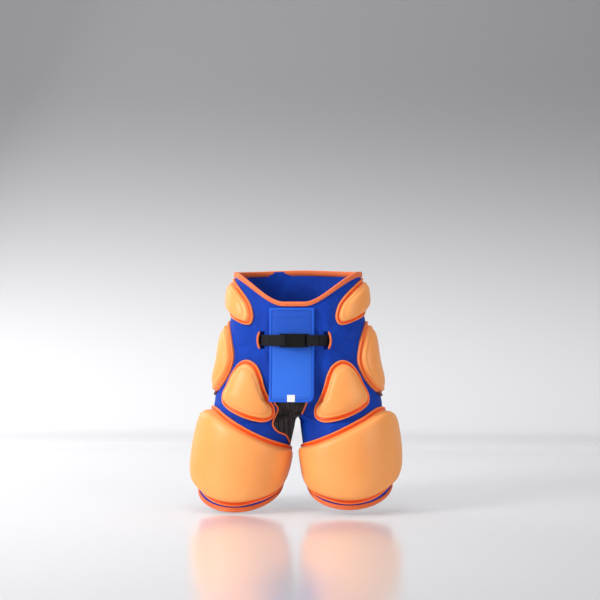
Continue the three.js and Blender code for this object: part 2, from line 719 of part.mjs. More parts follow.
// From behind the cloth, out through the slit, over the flap, round a bar of the buckle and back over itself.
function strapSolid(side, end, slot) {
  const place = (x, lift) => new THREE.Vector2(x, clothFront(x, -STRAP_DROP, 0).y - lift);
  const flat = (x, lift) => new THREE.Vector2(x, buckleY + BUCKLE_BACK - lift);
  const behind = -CLOTH - GAP - 4 * FREE_PLAY - WEBBING_THICKNESS / 2;
  const outOfSlit = GAP + WEBBING_THICKNESS / 2 + 2 * FREE_PLAY;
  const flapEdge = FLAP_MIDDLE + (side.sign * FLAP_WIDTH) / 2;
  const overBar = BUCKLE_BACK + BUCKLE_PLATE + FREE_PLAY + WEBBING_THICKNESS / 2;
  const tail = STRAP_LIFT + WEBBING_THICKNESS + FREE_PLAY;
  const pastEnd = end + side.sign * (FREE_PLAY + WEBBING_THICKNESS);
  const far = end + side.sign * STRAP_TAIL;
  const slitInner = side.sign * (SLIT_FROM_MIDDLE + FREE_PLAY);
  const slitOuter = side.sign * (SLIT_FROM_MIDDLE + SLIT_WIDTH + 3 * FREE_PLAY);
  const sewnEnd = slitOuter + side.sign * STRAP_SEWN;
  const shoulder = side.sign * Math.max(side.sign * flapEdge + 2, side.sign * far + 3);
  const between = [0, 0.25, 0.5, 0.75].map((share) => lerp(shoulder, pastEnd, share));
  return webbing([
    place(sewnEnd, behind),
    place((sewnEnd + slitOuter) / 2, behind),
    place(slitOuter, behind),
    place(slitInner, outOfSlit),
    ...between.map((x) => place(x, STRAP_LIFT)),
    flat(pastEnd, STRAP_LIFT),
    flat(slot, STRAP_LIFT),
    flat(slot, overBar),
    flat(pastEnd, overBar),
    place(far, tail),
  ]);
}

// The buckle's half with the bars: two slots for the webbing, a body, and a guide between two prongs.
function plugSolid() {
  const z = -STRAP_DROP;
  const y = buckleY - BUCKLE_PLATE / 2;
  const frameLength = PLUG_BODY - PLUG_END + JOIN;
  const frame = box(PLUG_END + frameLength / 2, y, z, frameLength, BUCKLE_PLATE, BUCKLE_WIDTH);
  const slotHeight = WEBBING_WIDTH + 2 * FREE_PLAY;
  const slot = (x) => box(x, y, z, BUCKLE_SLOT, 2 * BUCKLE_PLATE, slotHeight);
  const first = PLUG_END + BUCKLE_BAR + BUCKLE_SLOT / 2;
  const second = first + BUCKLE_SLOT + BUCKLE_BAR;
  const middleY = buckleY - BUCKLE_THICKNESS / 2;
  const bodyLength = SOCKET_MOUTH - PLUG_BODY;
  const body = box(PLUG_BODY + bodyLength / 2, middleY, z, bodyLength, BUCKLE_THICKNESS, BUCKLE_WIDTH);
  const prongThickness = BUCKLE_THICKNESS - 2 * (BUCKLE_WALL + FREE_PLAY);
  const prongStart = SOCKET_MOUTH - FREE_PLAY;
  const bar = (offset, length) =>
    box(prongStart + length / 2, middleY, z + offset, length, prongThickness, PRONG_WIDTH);
  const prongAt = BUCKLE_WIDTH / 2 - BUCKLE_WALL - FREE_PLAY - PRONG_WIDTH / 2;
  const prongs = bar(prongAt, PRONG_LENGTH).add(bar(-prongAt, PRONG_LENGTH)).add(bar(0, PRONG_LENGTH / 2));
  return frame.subtract(slot(first)).subtract(slot(second)).add(body).add(prongs);
}

// The buckle's hollow half: open towards the plug, with a window in each side and a bar for the webbing.
function socketSolid() {
  const z = -STRAP_DROP;
  const middleY = buckleY - BUCKLE_THICKNESS / 2;
  const start = SOCKET_MOUTH + GAP;
  const length = SOCKET_BODY - start;
  const body = box(start + length / 2, middleY, z, length, BUCKLE_THICKNESS, BUCKLE_WIDTH);
  const hollowLength = PRONG_LENGTH + FREE_PLAY;
  const hollowDepth = BUCKLE_THICKNESS - 2 * BUCKLE_WALL;
  const hollowHeight = BUCKLE_WIDTH - 2 * BUCKLE_WALL;
  const hollow = box(start - 1 + hollowLength / 2, middleY, z, hollowLength, hollowDepth, hollowHeight);
  const windowLength = PRONG_LENGTH / 2;
  const windowX = start - 1 + hollowLength - windowLength / 2;
  const sideWindow = box(windowX, middleY, z, windowLength, hollowDepth, BUCKLE_WIDTH + 2 * BUCKLE_WALL);
  const frameLength = SOCKET_END - SOCKET_BODY + JOIN;
  const y = buckleY - BUCKLE_PLATE / 2;
  const frame = box(SOCKET_END - frameLength / 2, y, z, frameLength, BUCKLE_PLATE, BUCKLE_WIDTH);
  const slot = box(SOCKET_BODY + BUCKLE_SLOT / 2, y, z, BUCKLE_SLOT, 2 * BUCKLE_PLATE, WEBBING_WIDTH + 2 * FREE_PLAY);
  return body.add(frame).subtract(slot).subtract(hollow).subtract(sideWindow);
}

// Slits for the strap: bowed outwards, with a bound outer edge.
const SLIT_STEPS = 7;
function slitEdge(side, widen) {
  const points = Array.from({ length: SLIT_STEPS + 1 }, (_, i) => {
    const share = -1 + (2 * i) / SLIT_STEPS;
    const out = SLIT_FROM_MIDDLE + SLIT_WIDTH + widen + SLIT_BOW * (1 - share * share);
    return new THREE.Vector2(side.sign * out, -STRAP_DROP + (share * SLIT_HEIGHT) / 2);
  });
  return points;
}
function slitHole(side) {
  const edge = slitEdge(side, 0);
  const inner = [edge.at(-1), edge[0]].map((p) => new THREE.Vector2(side.sign * SLIT_FROM_MIDDLE, p.y));
  return prismAlongY([...edge, ...inner], -HIP_DEPTH, -HIP_DEPTH / 5);
}
function slitBinding(side) {
  const points = slitEdge(side, TAPE_RADIUS).map((p) => clothFront(p.x, p.y, TAPE_RADIUS - CORD_SINK));
  return cord(points, TAPE_RADIUS, 2 * SLIT_STEPS, 6).subtract(clearOfCloth);
}

const wall = clothWall(0, -CLOTH);
const shell = SIDES.reduce((cloth, side) => cloth.subtract(slitHole(side)), wall.subtract(gussetWindow(GAP / 2)));

const group = new THREE.Group();
function addMesh(name, solid, material) {
  const mesh = new THREE.Mesh(geometryFrom(solid), material.clone());
  mesh.name = name;
  group.add(mesh);
}

addMesh("hip_shell", shell, BLUE_CLOTH);
addMesh("crotch_gusset", wall.intersect(gussetWindow(-GAP / 2)), BLACK_CLOTH);
addMesh("waist_binding", waistBinding(), ORANGE_TAPE);
addMesh("gusset_piping_right", rightPiping(), ORANGE_TAPE);
addMesh("gusset_piping_left", leftPiping(), ORANGE_TAPE);
addMesh("front_flap", flapSolid(), FLAP_CLOTH);
addMesh("label_tab", labelSolid(), WHITE_LABEL);
addMesh("strap_right", strapSolid(RIGHT, PLUG_END, PLUG_BODY - BUCKLE_SLOT / 2), BLACK_WEBBING);
addMesh("strap_left", strapSolid(LEFT, SOCKET_END, SOCKET_BODY + BUCKLE_SLOT / 2), BLACK_WEBBING);
addMesh("buckle_plug", plugSolid(), BLACK_PLASTIC);
addMesh("buckle_socket", socketSolid(), BLACK_PLASTIC);
for (const side of SIDES) {
  addMesh(`leg_binding_${side.name}`, legBinding(side), ORANGE_TAPE);
  addMesh(`slot_binding_${side.name}`, slitBinding(side), ORANGE_TAPE);
  addMesh(`waist_pad_${side.name}`, padSolid(WAIST_PAD, side), ORANGE_FOAM);
  addMesh(`hip_pad_${side.name}`, padSolid(HIP_PAD, side), ORANGE_FOAM);
  addMesh(`groin_pad_${side.name}`, padSolid(GROIN_PAD, side), ORANGE_FOAM);
  addMesh(`thigh_pad_${side.name}`, padSolid(THIGH_PAD, side), ORANGE_FOAM);
}

export default group;
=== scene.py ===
import math

import bmesh
import bpy
import numpy as np
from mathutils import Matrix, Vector


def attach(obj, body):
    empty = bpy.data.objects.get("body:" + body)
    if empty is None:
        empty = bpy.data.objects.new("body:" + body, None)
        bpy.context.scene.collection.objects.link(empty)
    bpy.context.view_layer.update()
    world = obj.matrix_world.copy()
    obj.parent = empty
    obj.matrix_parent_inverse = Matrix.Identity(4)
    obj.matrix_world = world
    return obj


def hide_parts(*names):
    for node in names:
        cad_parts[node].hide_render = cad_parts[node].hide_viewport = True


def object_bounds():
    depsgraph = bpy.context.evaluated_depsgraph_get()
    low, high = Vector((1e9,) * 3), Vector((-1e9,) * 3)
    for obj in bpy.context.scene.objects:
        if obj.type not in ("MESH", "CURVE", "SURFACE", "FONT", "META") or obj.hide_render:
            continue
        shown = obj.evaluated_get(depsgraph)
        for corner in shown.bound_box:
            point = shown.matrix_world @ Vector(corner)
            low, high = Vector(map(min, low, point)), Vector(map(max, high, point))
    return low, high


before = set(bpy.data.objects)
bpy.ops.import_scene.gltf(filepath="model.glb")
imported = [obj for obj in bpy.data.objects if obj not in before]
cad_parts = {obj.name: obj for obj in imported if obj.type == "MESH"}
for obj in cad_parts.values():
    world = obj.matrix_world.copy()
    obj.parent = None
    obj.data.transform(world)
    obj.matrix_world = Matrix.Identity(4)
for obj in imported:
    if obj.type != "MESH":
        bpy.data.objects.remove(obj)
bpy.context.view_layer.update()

# Shell of the shorts: blue stretch knit, cut in panels and sewn into one hipped tube with two legs. It has the shape
# it takes when worn, so its outer face is a smooth body of oval sections at the hips and legs, run together, and a
# place down the shorts is 0 at the waist, 1 at the crotch and 2 at the hem.
HIP_WIDTH = 0.372
HIP_DEPTH = 0.240
RISE = 0.272
THIGH_WIDTH = 0.204
THIGH_DEPTH = 0.208
LEG_LENGTH = 0.205
RIGHT_LEG_LONGER = 0.009
STANCE = 0.264
LEG_SWAY = -0.008
CLOTH = 0.003
BLEND = 0.014
GAP = 0.0003
HIP_SQUARENESS = 2.35
RIGHT, LEFT = -1, 1
SIDE_NAMES = {RIGHT: "right", LEFT: "left"}
HIPS = {
    "down": (-0.26, 0, 0.22, 0.48, 0.7, 0.87, 0.965, 1.03, 1.09),
    "wide": (0.78, 0.805, 0.87, 0.915, 0.95, 0.96, 0.72, 0.3, 0.04),
    "front": (0.86, 0.9, 0.92, 0.9, 0.86, 0.74, 0.5, 0.17, 0.03),
    "back": (0.92, 0.95, 1.02, 1.1, 1.11, 0.96, 0.6, 0.2, 0.03),
}
LEGS = {
    "down": (0.4, 0.7, 1, 1.27, 1.6, 1.83, 2),
    "out": (0.62, 0.71, 0.79, 0.865, 0.94, 0.98, 1),
    "wide": (0.62, 0.88, 0.99, 1.01, 0.99, 0.965, 0.94),
    "deep": (0.72, 0.93, 1, 1, 0.985, 0.96, 0.93),
}
PROBE = np.eye(3) * 0.0005


def along(table, column, down):
    """A column of a table of sections, smoothly between its rows."""
    rows, values = np.array(table["down"], float), np.array(table[column], float)
    at = np.clip(down, rows[0], rows[-1])
    i = np.clip(np.searchsorted(rows, at, side="left") - 1, 0, len(rows) - 2)
    slopes = np.empty(len(rows))
    slopes[1:-1] = (values[2:] - values[:-2]) / (rows[2:] - rows[:-2])
    slopes[0] = (values[1] - values[0]) / (rows[1] - rows[0])
    slopes[-1] = (values[-1] - values[-2]) / (rows[-1] - rows[-2])
    span = rows[i + 1] - rows[i]
    t = (at - rows[i]) / span
    rise = values[i] * (1 + 2 * t) * (1 - t) ** 2 + values[i + 1] * t * t * (3 - 2 * t)
    return rise + span * t * (1 - t) * (slopes[i] * (1 - t) - slopes[i + 1] * t)


def down_at(z):
    return np.where(z > -RISE, -z / RISE, 1 + (-z - RISE) / LEG_LENGTH)


def height_at(side, down):
    leg = LEG_LENGTH + (RIGHT_LEG_LONGER if side == RIGHT else 0)
    down = np.asarray(down, float)
    return np.where(down < 1, -down * RISE, -RISE - (down - 1) * leg)


def leg_middle_x(side, z):
    down = down_at(z)
    return side * along(LEGS, "out", down) * STANCE / 2 + LEG_SWAY * np.clip(down - 1, 0, 1)


def outside_oval(x, y, wide, deep, squareness):
    size = (np.abs(x / wide) ** squareness + np.abs(y / deep) ** squareness) ** (1 / squareness)
    return (size - 1) * np.minimum(wide, deep)


def blended(a, b):
    overlap = np.maximum(BLEND - np.abs(a - b), 0) / BLEND
    return np.minimum(a, b) - overlap * overlap * BLEND / 4


def outside_cloth(p):
    """How far places are outside the shell's outer face, below 0 within it."""
    x, y, z = p[..., 0], p[..., 1], p[..., 2]
    down = down_at(z)
    hip_deep = np.where(y < 0, along(HIPS, "front", down), along(HIPS, "back", down)) * HIP_DEPTH / 2
    hip_oval = outside_oval(x, y, along(HIPS, "wide", down) * HIP_WIDTH / 2, hip_deep, HIP_SQUARENESS)
    hips = np.maximum(hip_oval, -RISE - z)
    wide, deep = along(LEGS, "wide", down) * THIGH_WIDTH / 2, along(LEGS, "deep", down) * THIGH_DEPTH / 2
    legs = [blended(hips, outside_oval(x - leg_middle_x(s, z), y, wide, deep, 2)) for s in (RIGHT, LEFT)]
    return np.minimum(*legs)


def outward(points):
    normal = np.stack([outside_cloth(points + d) - outside_cloth(points - d) for d in PROBE], -1)
    return normal / np.linalg.norm(normal, axis=-1, keepdims=True)


def on_cloth(start, direction, lift):
    """Where rays from inside leave the cloth, moved outwards from it by a lift."""
    start, direction = np.broadcast_arrays(np.asarray(start, float), np.asarray(direction, float))
    near = np.zeros(start.shape[:-1])
    far = np.full(start.shape[:-1], HIP_WIDTH)
    searching = np.ones(start.shape[:-1], bool)
    step = 0.006
    for reach in np.arange(step, HIP_WIDTH, step):
        out = searching & (outside_cloth(start + direction * reach) >= 0)
        near[out], far[out] = reach - step, reach
        searching &= ~out
        if not searching.any():
            break
    for _ in range(16):
        middle = (near + far) / 2
        inside = outside_cloth(start + direction * middle[..., None]) < 0
        near, far = np.where(inside, middle, near), np.where(inside, far, middle)
    p = start + direction * near[..., None]
    return p + outward(p) * np.asarray(lift, float)[..., None]


def turned(side, turn):
    turn = np.radians(turn)
    return np.stack([side * np.sin(turn), -np.cos(turn), np.zeros_like(turn)], -1)


def around_body(side, turn, z, lift):
    turn, z, lift = np.broadcast_arrays(np.asarray(turn, float), z, lift)
    start = np.stack([np.zeros_like(turn), np.zeros_like(turn), z], -1)
    return on_cloth(start, turned(side, turn), lift)


def around_leg(side, turn, z, lift):
    turn, z, lift = np.broadcast_arrays(np.asarray(turn, float), z, lift)
    start = np.stack([leg_middle_x(side, z), np.zeros_like(turn), z], -1)
    return on_cloth(start, turned(side, turn), lift)


def cloth_front(x, z, lift):
    x, z, lift = np.broadcast_arrays(np.asarray(x, float), z, lift)
    return on_cloth(np.stack([x, np.zeros_like(x), z], -1), np.array([0.0, -1.0, 0.0]), lift)


def with_bmesh(mesh, work):
    edited = bmesh.new()
    edited.from_mesh(mesh)
    work(edited)
    edited.to_mesh(mesh)
    edited.free()


def mesh_piece(name, points, faces, look=None, marks=None, smooth=True):
    """A mesh object in the model's own frame, with its faces turned outwards. Marks are values kept on its points."""
    mesh = bpy.data.meshes.new(name)
    mesh.from_pydata(np.asarray(points).reshape(-1, 3).tolist(), [], faces)
    for key, values in (marks or {}).items():
        mesh.attributes.new(key, "FLOAT", "POINT").data.foreach_set("value", np.asarray(values, float).ravel())
    if look:
        mesh.materials.append(look.material)
    with_bmesh(mesh, lambda edited: bmesh.ops.recalc_face_normals(edited, faces=edited.faces))
    if smooth:
        mesh.shade_smooth()
    piece = bpy.data.objects.new(name, mesh)
    bpy.context.scene.collection.objects.link(piece)
    return piece


def skin_faces(rows, count, closed_rows=False, start=0):
    """Quads over rows of points, where each row is a closed loop."""
    k, i = np.meshgrid(np.arange(rows if closed_rows else rows - 1), np.arange(count), indexing="ij")
    below, beside = (k + 1) % rows, (i + 1) % count
    quads = np.stack([k * count + i, below * count + i, below * count + beside, k * count + beside], -1)
    return (quads.reshape(-1, 4) + start).tolist()


def finish_piece(piece, slot, *nodes):
    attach(piece, "root")
    if nodes:
        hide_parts(*nodes)


class Value:
    """One value in a material's node tree, which takes part in sums as a number does."""

    def __init__(self, look, socket):
        self.look = look
        self.socket = socket

    def math(self, operation, first, second):
        return self.look.node("ShaderNodeMath", {"operation": operation}, {0: first, 1: second})

    def __add__(self, other):
        return self.math("ADD", self, other)

    def __sub__(self, other):
        return self.math("SUBTRACT", self, other)

    def __rsub__(self, other):
        return self.math("SUBTRACT", other, self)

    def __mul__(self, other):
        return self.math("MULTIPLY", self, other)

    __radd__ = __add__
    __rmul__ = __mul__

    def wave(self, length):
        return self.math("SINE", self * (2 * math.pi / length), 0)

    def between(self, low, high):
        return self.look.node("ShaderNodeMapRange", {"interpolation_type": "SMOOTHSTEP"}, {0: self, 1: low, 2: high})


class Look:
    """A material and its shader. Values that are the same all over are set on the shader itself."""

    def __init__(self, name, **constants):
        self.material = bpy.data.materials.new(name)
        self.material.use_nodes = True
        self.tree = self.material.node_tree
        self.shader = self.tree.nodes["Principled BSDF"]
        for socket, value in constants.items():
            self.shader.inputs[socket.replace("_", " ")].default_value = value

    def node(self, kind, settings, inputs, output=0):
        made = self.tree.nodes.new(kind)
        for name, value in settings.items():
            setattr(made, name, value)
        for socket, value in inputs.items():
            if isinstance(value, Value):
                self.tree.links.new(value.socket, made.inputs[socket])
            else:
                made.inputs[socket].default_value = value
        return Value(self, made.outputs[output])

    def drive(self, socket, value):
        self.tree.links.new(value.socket, self.shader.inputs[socket])

    def place(self):
        return self.node("ShaderNodeTexCoord", {}, {}, "Object")

    def axis(self, name):
        return self.node("ShaderNodeSeparateXYZ", {}, {0: self.place()}, name)

    def mark(self, name):
        return self.node("ShaderNodeAttribute", {"attribute_name": name}, {}, "Fac")

    def noise(self, size, detail=3):
        return self.node("ShaderNodeTexNoise", {}, {"Vector": self.place(), "Scale": 1 / size, "Detail": detail})

    def mix(self, share, first, second):
        return self.node("ShaderNodeMix", {"data_type": "RGBA"}, {0: share, 6: first, 7: second}, 2)

    def bump(self, height, distance, strength=1.0):
        inputs = {"Height": height, "Distance": distance, "Strength": strength}
        self.drive("Normal", self.node("ShaderNodeBump", {}, inputs))


def linear(red, green, blue):
    """A colour given as a screen shows it, 0 to 255, as a shader wants it."""
    shares = [c / 255 for c in (red, green, blue)]
    return (*[s / 12.92 if s <= 0.04045 else ((s + 0.055) / 1.055) ** 2.4 for s in shares], 1.0)


# Rings of points over the cloth: round the hips, along a seam under the crotch, and round each leg.
RING = 192
HALF = RING // 2
INSIDE_LEG = 28
LEG_TURN = 40
NOTCH = 0.010
HIP_ROWS = 72
LEG_ROWS = 60
LAST_HIP = -RISE + NOTCH
FIRST_LEG = -RISE - NOTCH
WAIST_SIDE_RISE = 0.064
WAIST_BACK_RISE = 0.070
WAIST_FRONT_DROP = 0.006
HEM_LIFT = 0.090
HIP_TURNS = np.array([360 * j / RING - (360 if j > HALF else 0) for j in range(RING)])
LEG_TURNS = np.concatenate([
    -LEG_TURN + (180 + 2 * LEG_TURN) * np.arange(HALF + 1) / HALF,
    180 + LEG_TURN + (180 - 2 * LEG_TURN) * np.arange(1, INSIDE_LEG) / INSIDE_LEG,
])


def smooth_share(value, low, high):
    t = np.clip((value - low) / (high - low), 0, 1)
    return t * t * (3 - 2 * t)


def waist_height(turn):
    to_side = smooth_share(np.abs(turn), 12, 78)
    to_back = smooth_share(np.abs(turn), 90, 180)
    front = -WAIST_FRONT_DROP + (WAIST_SIDE_RISE + WAIST_FRONT_DROP) * to_side
    return front + (WAIST_BACK_RISE - WAIST_SIDE_RISE) * to_back


def hem_height(side, turn):
    return height_at(side, 2.0) + HEM_LIFT * (1 - np.cos(np.radians(turn))) / 2


def folds(p):
    """How far the cloth is drawn in: in fans from the strap's slits, at the top of the legs, and softly all over."""
    x, y, z = p[..., 0], p[..., 1], p[..., 2]
    side_x = np.abs(x)
    angle = np.arctan2(z + 0.095, side_x - 0.078)
    reach = np.hypot(z + 0.095, side_x - 0.078)
    rays = (0.5 + 0.5 * np.sin(angle * 10 + 1.2 * np.sign(x))) * np.exp(-(((reach - 0.045) / 0.032) ** 2))
    fan = 0.0022 * rays * (y < 0)
    crease = 0.5 + 0.5 * np.sin(2 * np.pi * (z + 0.35 * side_x + 0.004 * np.sin(60 * x)) / 0.021)
    groin = 0.0014 * crease * np.exp(-(((z + 0.262) / 0.03) ** 2)) * smooth_share(side_x, 0.02, 0.06)
    soft = np.sin(31 * x + 17 * z + 2 * np.sin(23 * z)) * np.sin(27 * z - 19 * y + 1.7)
    fine = np.sin(83 * x + 61 * z + 2 * np.sin(47 * z + 3 * y)) * np.sin(71 * z - 52 * y)
    return fan + groin + 0.0008 * (1 + soft) + 0.0003 * (1 + fine)


def cloth_grid(lift):
    """Points and faces of the cloth at one depth, with its waist loop and its two hem loops."""
    shares = np.linspace(0, 1, HIP_ROWS)[:, None]
    tops = waist_height(HIP_TURNS)[None, :]
    hips = around_body(LEFT, HIP_TURNS[None, :], tops + (LAST_HIP - tops) * shares, lift)
    angle = np.pi * np.arange(1, INSIDE_LEG) / INSIDE_LEG
    rays = np.stack([np.zeros_like(angle), -np.cos(angle), -np.sin(angle)], -1)
    crotch = on_cloth(np.array([0, 0, LAST_HIP]), rays, np.full(len(angle), lift))
    points, faces, start = [hips.reshape(-1, 3), crotch], skin_faces(HIP_ROWS, RING), HIP_ROWS * RING
    crotch_ids = list(range(start, start + INSIDE_LEG - 1))
    start += INSIDE_LEG - 1
    last_ring = (HIP_ROWS - 1) * RING
    count = HALF + INSIDE_LEG
    hem_loops = []
    for side in (RIGHT, LEFT):
        shares = np.linspace(0, 1, LEG_ROWS)[:, None]
        hems = hem_height(side, LEG_TURNS)[None, :]
        leg = around_leg(side, LEG_TURNS[None, :], FIRST_LEG + (hems - FIRST_LEG) * shares, lift)
        points.append(leg.reshape(-1, 3))
        upper = [last_ring + (j if side == LEFT else (RING - j) % RING) for j in range(HALF + 1)] + crotch_ids[::-1]
        join = [[upper[i], start + i, start + (i + 1) % count, upper[(i + 1) % count]] for i in range(count)]
        faces += join + skin_faces(LEG_ROWS, count, start=start)
        hem_loops.append([start + (LEG_ROWS - 1) * count + i for i in range(count)])
        start += LEG_ROWS * count
    points = np.concatenate(points)
    return points - outward(points) * folds(points)[:, None], faces, list(range(RING)), hem_loops


def cloth_wall(name, look):
    outer, faces, waist, hems = cloth_grid(0)
    inner, _, _, _ = cloth_grid(-CLOTH)
    shift = len(outer)
    faces = faces + [[i + shift for i in face] for face in faces]
    for loop in (waist, *hems):
        faces += [[a, b, b + shift, a + shift] for a, b in zip(loop, loop[1:] + loop[:1])]
    return mesh_piece(name, np.concatenate([outer, inner]), faces, look)


cloth_blue = Look("shell cloth", Roughness=0.6, Specular_IOR_Level=0.2)
cloth_blue.drive("Base Color", cloth_blue.mix(cloth_blue.noise(0.05), linear(0, 42, 142), linear(0, 72, 196)))
knit = cloth_blue.axis("X").wave(0.0013) * cloth_blue.axis("Z").wave(0.0011)
creases = cloth_blue.noise(0.018, 4) * 5
cloth_blue.bump(knit * 0.3 + creases + cloth_blue.noise(0.0012, 2) * 0.4, 0.0007, 0.6)
hip_shell = cloth_wall("hip_shell_cloth", cloth_blue)
whole_wall = hip_shell.data.copy()

# The window for the black panel and the strap's slits are cut through the wall with flat outlines carried along Y.
GUSSET_RIGHT = [
    (-0.34, 0.78), (-0.35, 0.86), (-0.3, 0.912), (-0.335, 0.97), (-0.385, 1.04),
    (-0.37, 1.1), (-0.3, 1.155), (-0.19, 1.2), (-0.15, 1.26), (-0.13, 1.31),
]
GUSSET_GAP = [(-0.015, 1.31), (-0.01, 1.08)]
GUSSET_LEFT = [(0.05, 1.015), (0.12, 0.96), (0.19, 0.886), (0.24, 0.83), (0.3, 0.78)]
GUSSET_BEHIND = [(0, 0.9), (-0.3, 1.05), (-0.1, 1.24), (-0.015, 1.24), (0.1, 1.2), (0.3, 1.05)]
SEAM_STEPS = 8
SLIT_FROM_MIDDLE = 0.068
SLIT_WIDTH = 0.009
SLIT_BOW = 0.005
SLIT_HEIGHT = 0.040
STRAP_DROP = 0.092


def spline(points, steps, closed=False):
    """A smooth curve through points, with a number of steps between each two."""
    points = np.asarray(points, float)
    ends = (points[-1:], points[:2]) if closed else (points[:1], points[-1:])
    padded = np.vstack([ends[0], points, ends[1]])
    t = np.linspace(0, 1, steps, endpoint=False)[:, None]
    parts = []
    for k in range(len(points) - (0 if closed else 1)):
        a, b, c, d = padded[k:k + 4]
        parts.append(b + ((c - a) * t + (2 * a - 5 * b + 4 * c - d) * t**2 + (3 * b - a - 3 * c + d) * t**3) / 2)
    if not closed:
        parts.append(points[-1:])
    return np.vstack(parts)


def prism(name, outline, front, back):
    count = len(outline)
    rows = [np.column_stack([outline[:, 0], np.full(count, y), outline[:, 1]]) for y in (front, back)]
    faces = [[i, (i + 1) % count, count + (i + 1) % count, count + i] for i in range(count)]
    return mesh_piece(name, np.vstack(rows), faces + [list(range(count)), list(range(count, 2 * count))], smooth=False)


def cut(piece, cutter, operation):
    modifier = piece.modifiers.new("cut", "BOOLEAN")
    modifier.operation = operation
    modifier.object = cutter
    modifier.solver = "MANIFOLD"
    made = bpy.data.meshes.new_from_object(piece.evaluated_get(bpy.context.evaluated_depsgraph_get()))
    piece.modifiers.clear()
    piece.data = made
    made.shade_smooth()


def on_front(shares):
    shares = np.asarray(shares, float)
    return np.column_stack([shares[:, 0] * STANCE / 2, height_at(LEFT, shares[:, 1])])


def slit_edge(side, widen, steps=16):
    share = np.linspace(-1, 1, steps)
    out = SLIT_FROM_MIDDLE + SLIT_WIDTH + widen + SLIT_BOW * (1 - share**2)
    return np.column_stack([side * out, -STRAP_DROP + share * SLIT_HEIGHT / 2])


right_seam = spline(on_front(GUSSET_RIGHT), SEAM_STEPS)
left_seam = spline(on_front(GUSSET_LEFT), SEAM_STEPS)
window = prism("window", np.vstack([right_seam, on_front(GUSSET_GAP), left_seam]), -HIP_DEPTH, 0.001)
window_behind = prism("window_behind", on_front(GUSSET_BEHIND), -0.001, HIP_DEPTH)
cut(window, window_behind, "UNION")
cut(hip_shell, window, "DIFFERENCE")
for side in (RIGHT, LEFT):
    inner_edge = np.array([[side * SLIT_FROM_MIDDLE, -STRAP_DROP + s * SLIT_HEIGHT / 2] for s in (1, -1)])
    hole = prism("slit", np.vstack([slit_edge(side, 0), inner_edge]), -HIP_DEPTH, -HIP_DEPTH / 5)
    cut(hip_shell, hole, "DIFFERENCE")
    bpy.data.objects.remove(hole)
finish_piece(hip_shell, "shell_cloth", "hip_shell")

# Panel between the legs: a matte black knit, sewn into the shell's window in front and behind. It isn't pulled as
# tight as the shell and hangs in soft upright folds below the flap.
cloth_black = Look("gusset cloth", Roughness=0.7, Sheen_Weight=0.2, Sheen_Roughness=0.4)
cloth_black.drive("Base Color", cloth_black.mix(cloth_black.noise(0.02), linear(14, 12, 11), linear(40, 35, 33)))
upright = cloth_black.axis("X") + cloth_black.noise(0.05) * 0.012
hanging = upright.wave(0.011) * 2 + upright.wave(0.0047)
cloth_black.bump(hanging * 2 + cloth_black.noise(0.0012, 2), 0.0009, 0.8)
gusset = bpy.data.objects.new("crotch_gusset_cloth", whole_wall)
bpy.context.scene.collection.objects.link(gusset)
cut(gusset, window, "INTERSECT")
gusset.data.materials.clear()
gusset.data.materials.append(cloth_black.material)
bpy.data.objects.remove(window)
bpy.data.objects.remove(window_behind)
finish_piece(gusset, "gusset_cloth", "crotch_gusset")

# Edge bindings: orange stretch tape folded over the waist and hem edges and sewn through, so that it rolls round
# the cloth's edge and is a little proud of it on both faces.
BINDING_WIDTH = 0.009
BINDING_PROUD = 0.0019
tape = Look("binding tape", Roughness=0.55, Sheen_Weight=0.15)
tape.drive("Base Color", tape.mix(tape.noise(0.03), linear(226, 92, 34), linear(248, 128, 64)))
tape.bump(tape.axis("Z").wave(0.0011) + tape.noise(0.0009, 2), 0.0002, 0.5)


def folded_tape(name, line, up):
    """Tape round an edge, where line gives the loop at a width from the edge and a lift off the cloth."""
    sewn = BINDING_WIDTH - 0.0022
    loops = [line(BINDING_WIDTH, 0.0002), line(BINDING_WIDTH, 0.0012), line(BINDING_WIDTH - 0.0008, BINDING_PROUD)]
    loops += [line(sewn + 0.0005, BINDING_PROUD), line(sewn, 0.0012), line(sewn - 0.0005, BINDING_PROUD)]
    loops += [line(0.004, 0.0021), line(0.002, 0.0021)]
    for a in np.pi * np.linspace(0, 1, 9):
        loop = line(0, -CLOTH / 2 + (CLOTH / 2 + BINDING_PROUD) * np.cos(a))
        loop[:, 2] += up * (0.0004 + BINDING_PROUD * np.sin(a))
        loops.append(loop)
    loops += [line(0.003, -CLOTH - BINDING_PROUD), line(BINDING_WIDTH, -CLOTH - 0.0014), line(BINDING_WIDTH, -CLOTH)]
    return mesh_piece(name, np.array(loops), skin_faces(len(loops), len(loops[0]), closed_rows=True), tape)


def waist_line(width, lift):
    tops = waist_height(HIP_TURNS)
    return around_body(LEFT, HIP_TURNS, tops + (LAST_HIP - tops) * width / RISE, lift)


def hem_line(side, width, lift):
    hems = hem_height(side, LEG_TURNS)
    return around_leg(side, LEG_TURNS, hems + (FIRST_LEG - hems) * width / LEG_LENGTH, lift)


finish_piece(folded_tape("waist_binding_tape", waist_line, 1), "binding_tape", "waist_binding")
for side in (RIGHT, LEFT):
    name = f"leg_binding_{SIDE_NAMES[side]}"
    hem_tape = folded_tape(f"{name}_tape", lambda width, lift: hem_line(side, width, lift), -1)
    finish_piece(hem_tape, "binding_tape", name)

# Piping and slit edges: the same orange tape, wrapped round a cord in the panel's front seams and rolled over the
# outer edge of each slit that the strap comes out of.
PIPING_RADIUS = 0.0022
TAPE_RADIUS = 0.0026


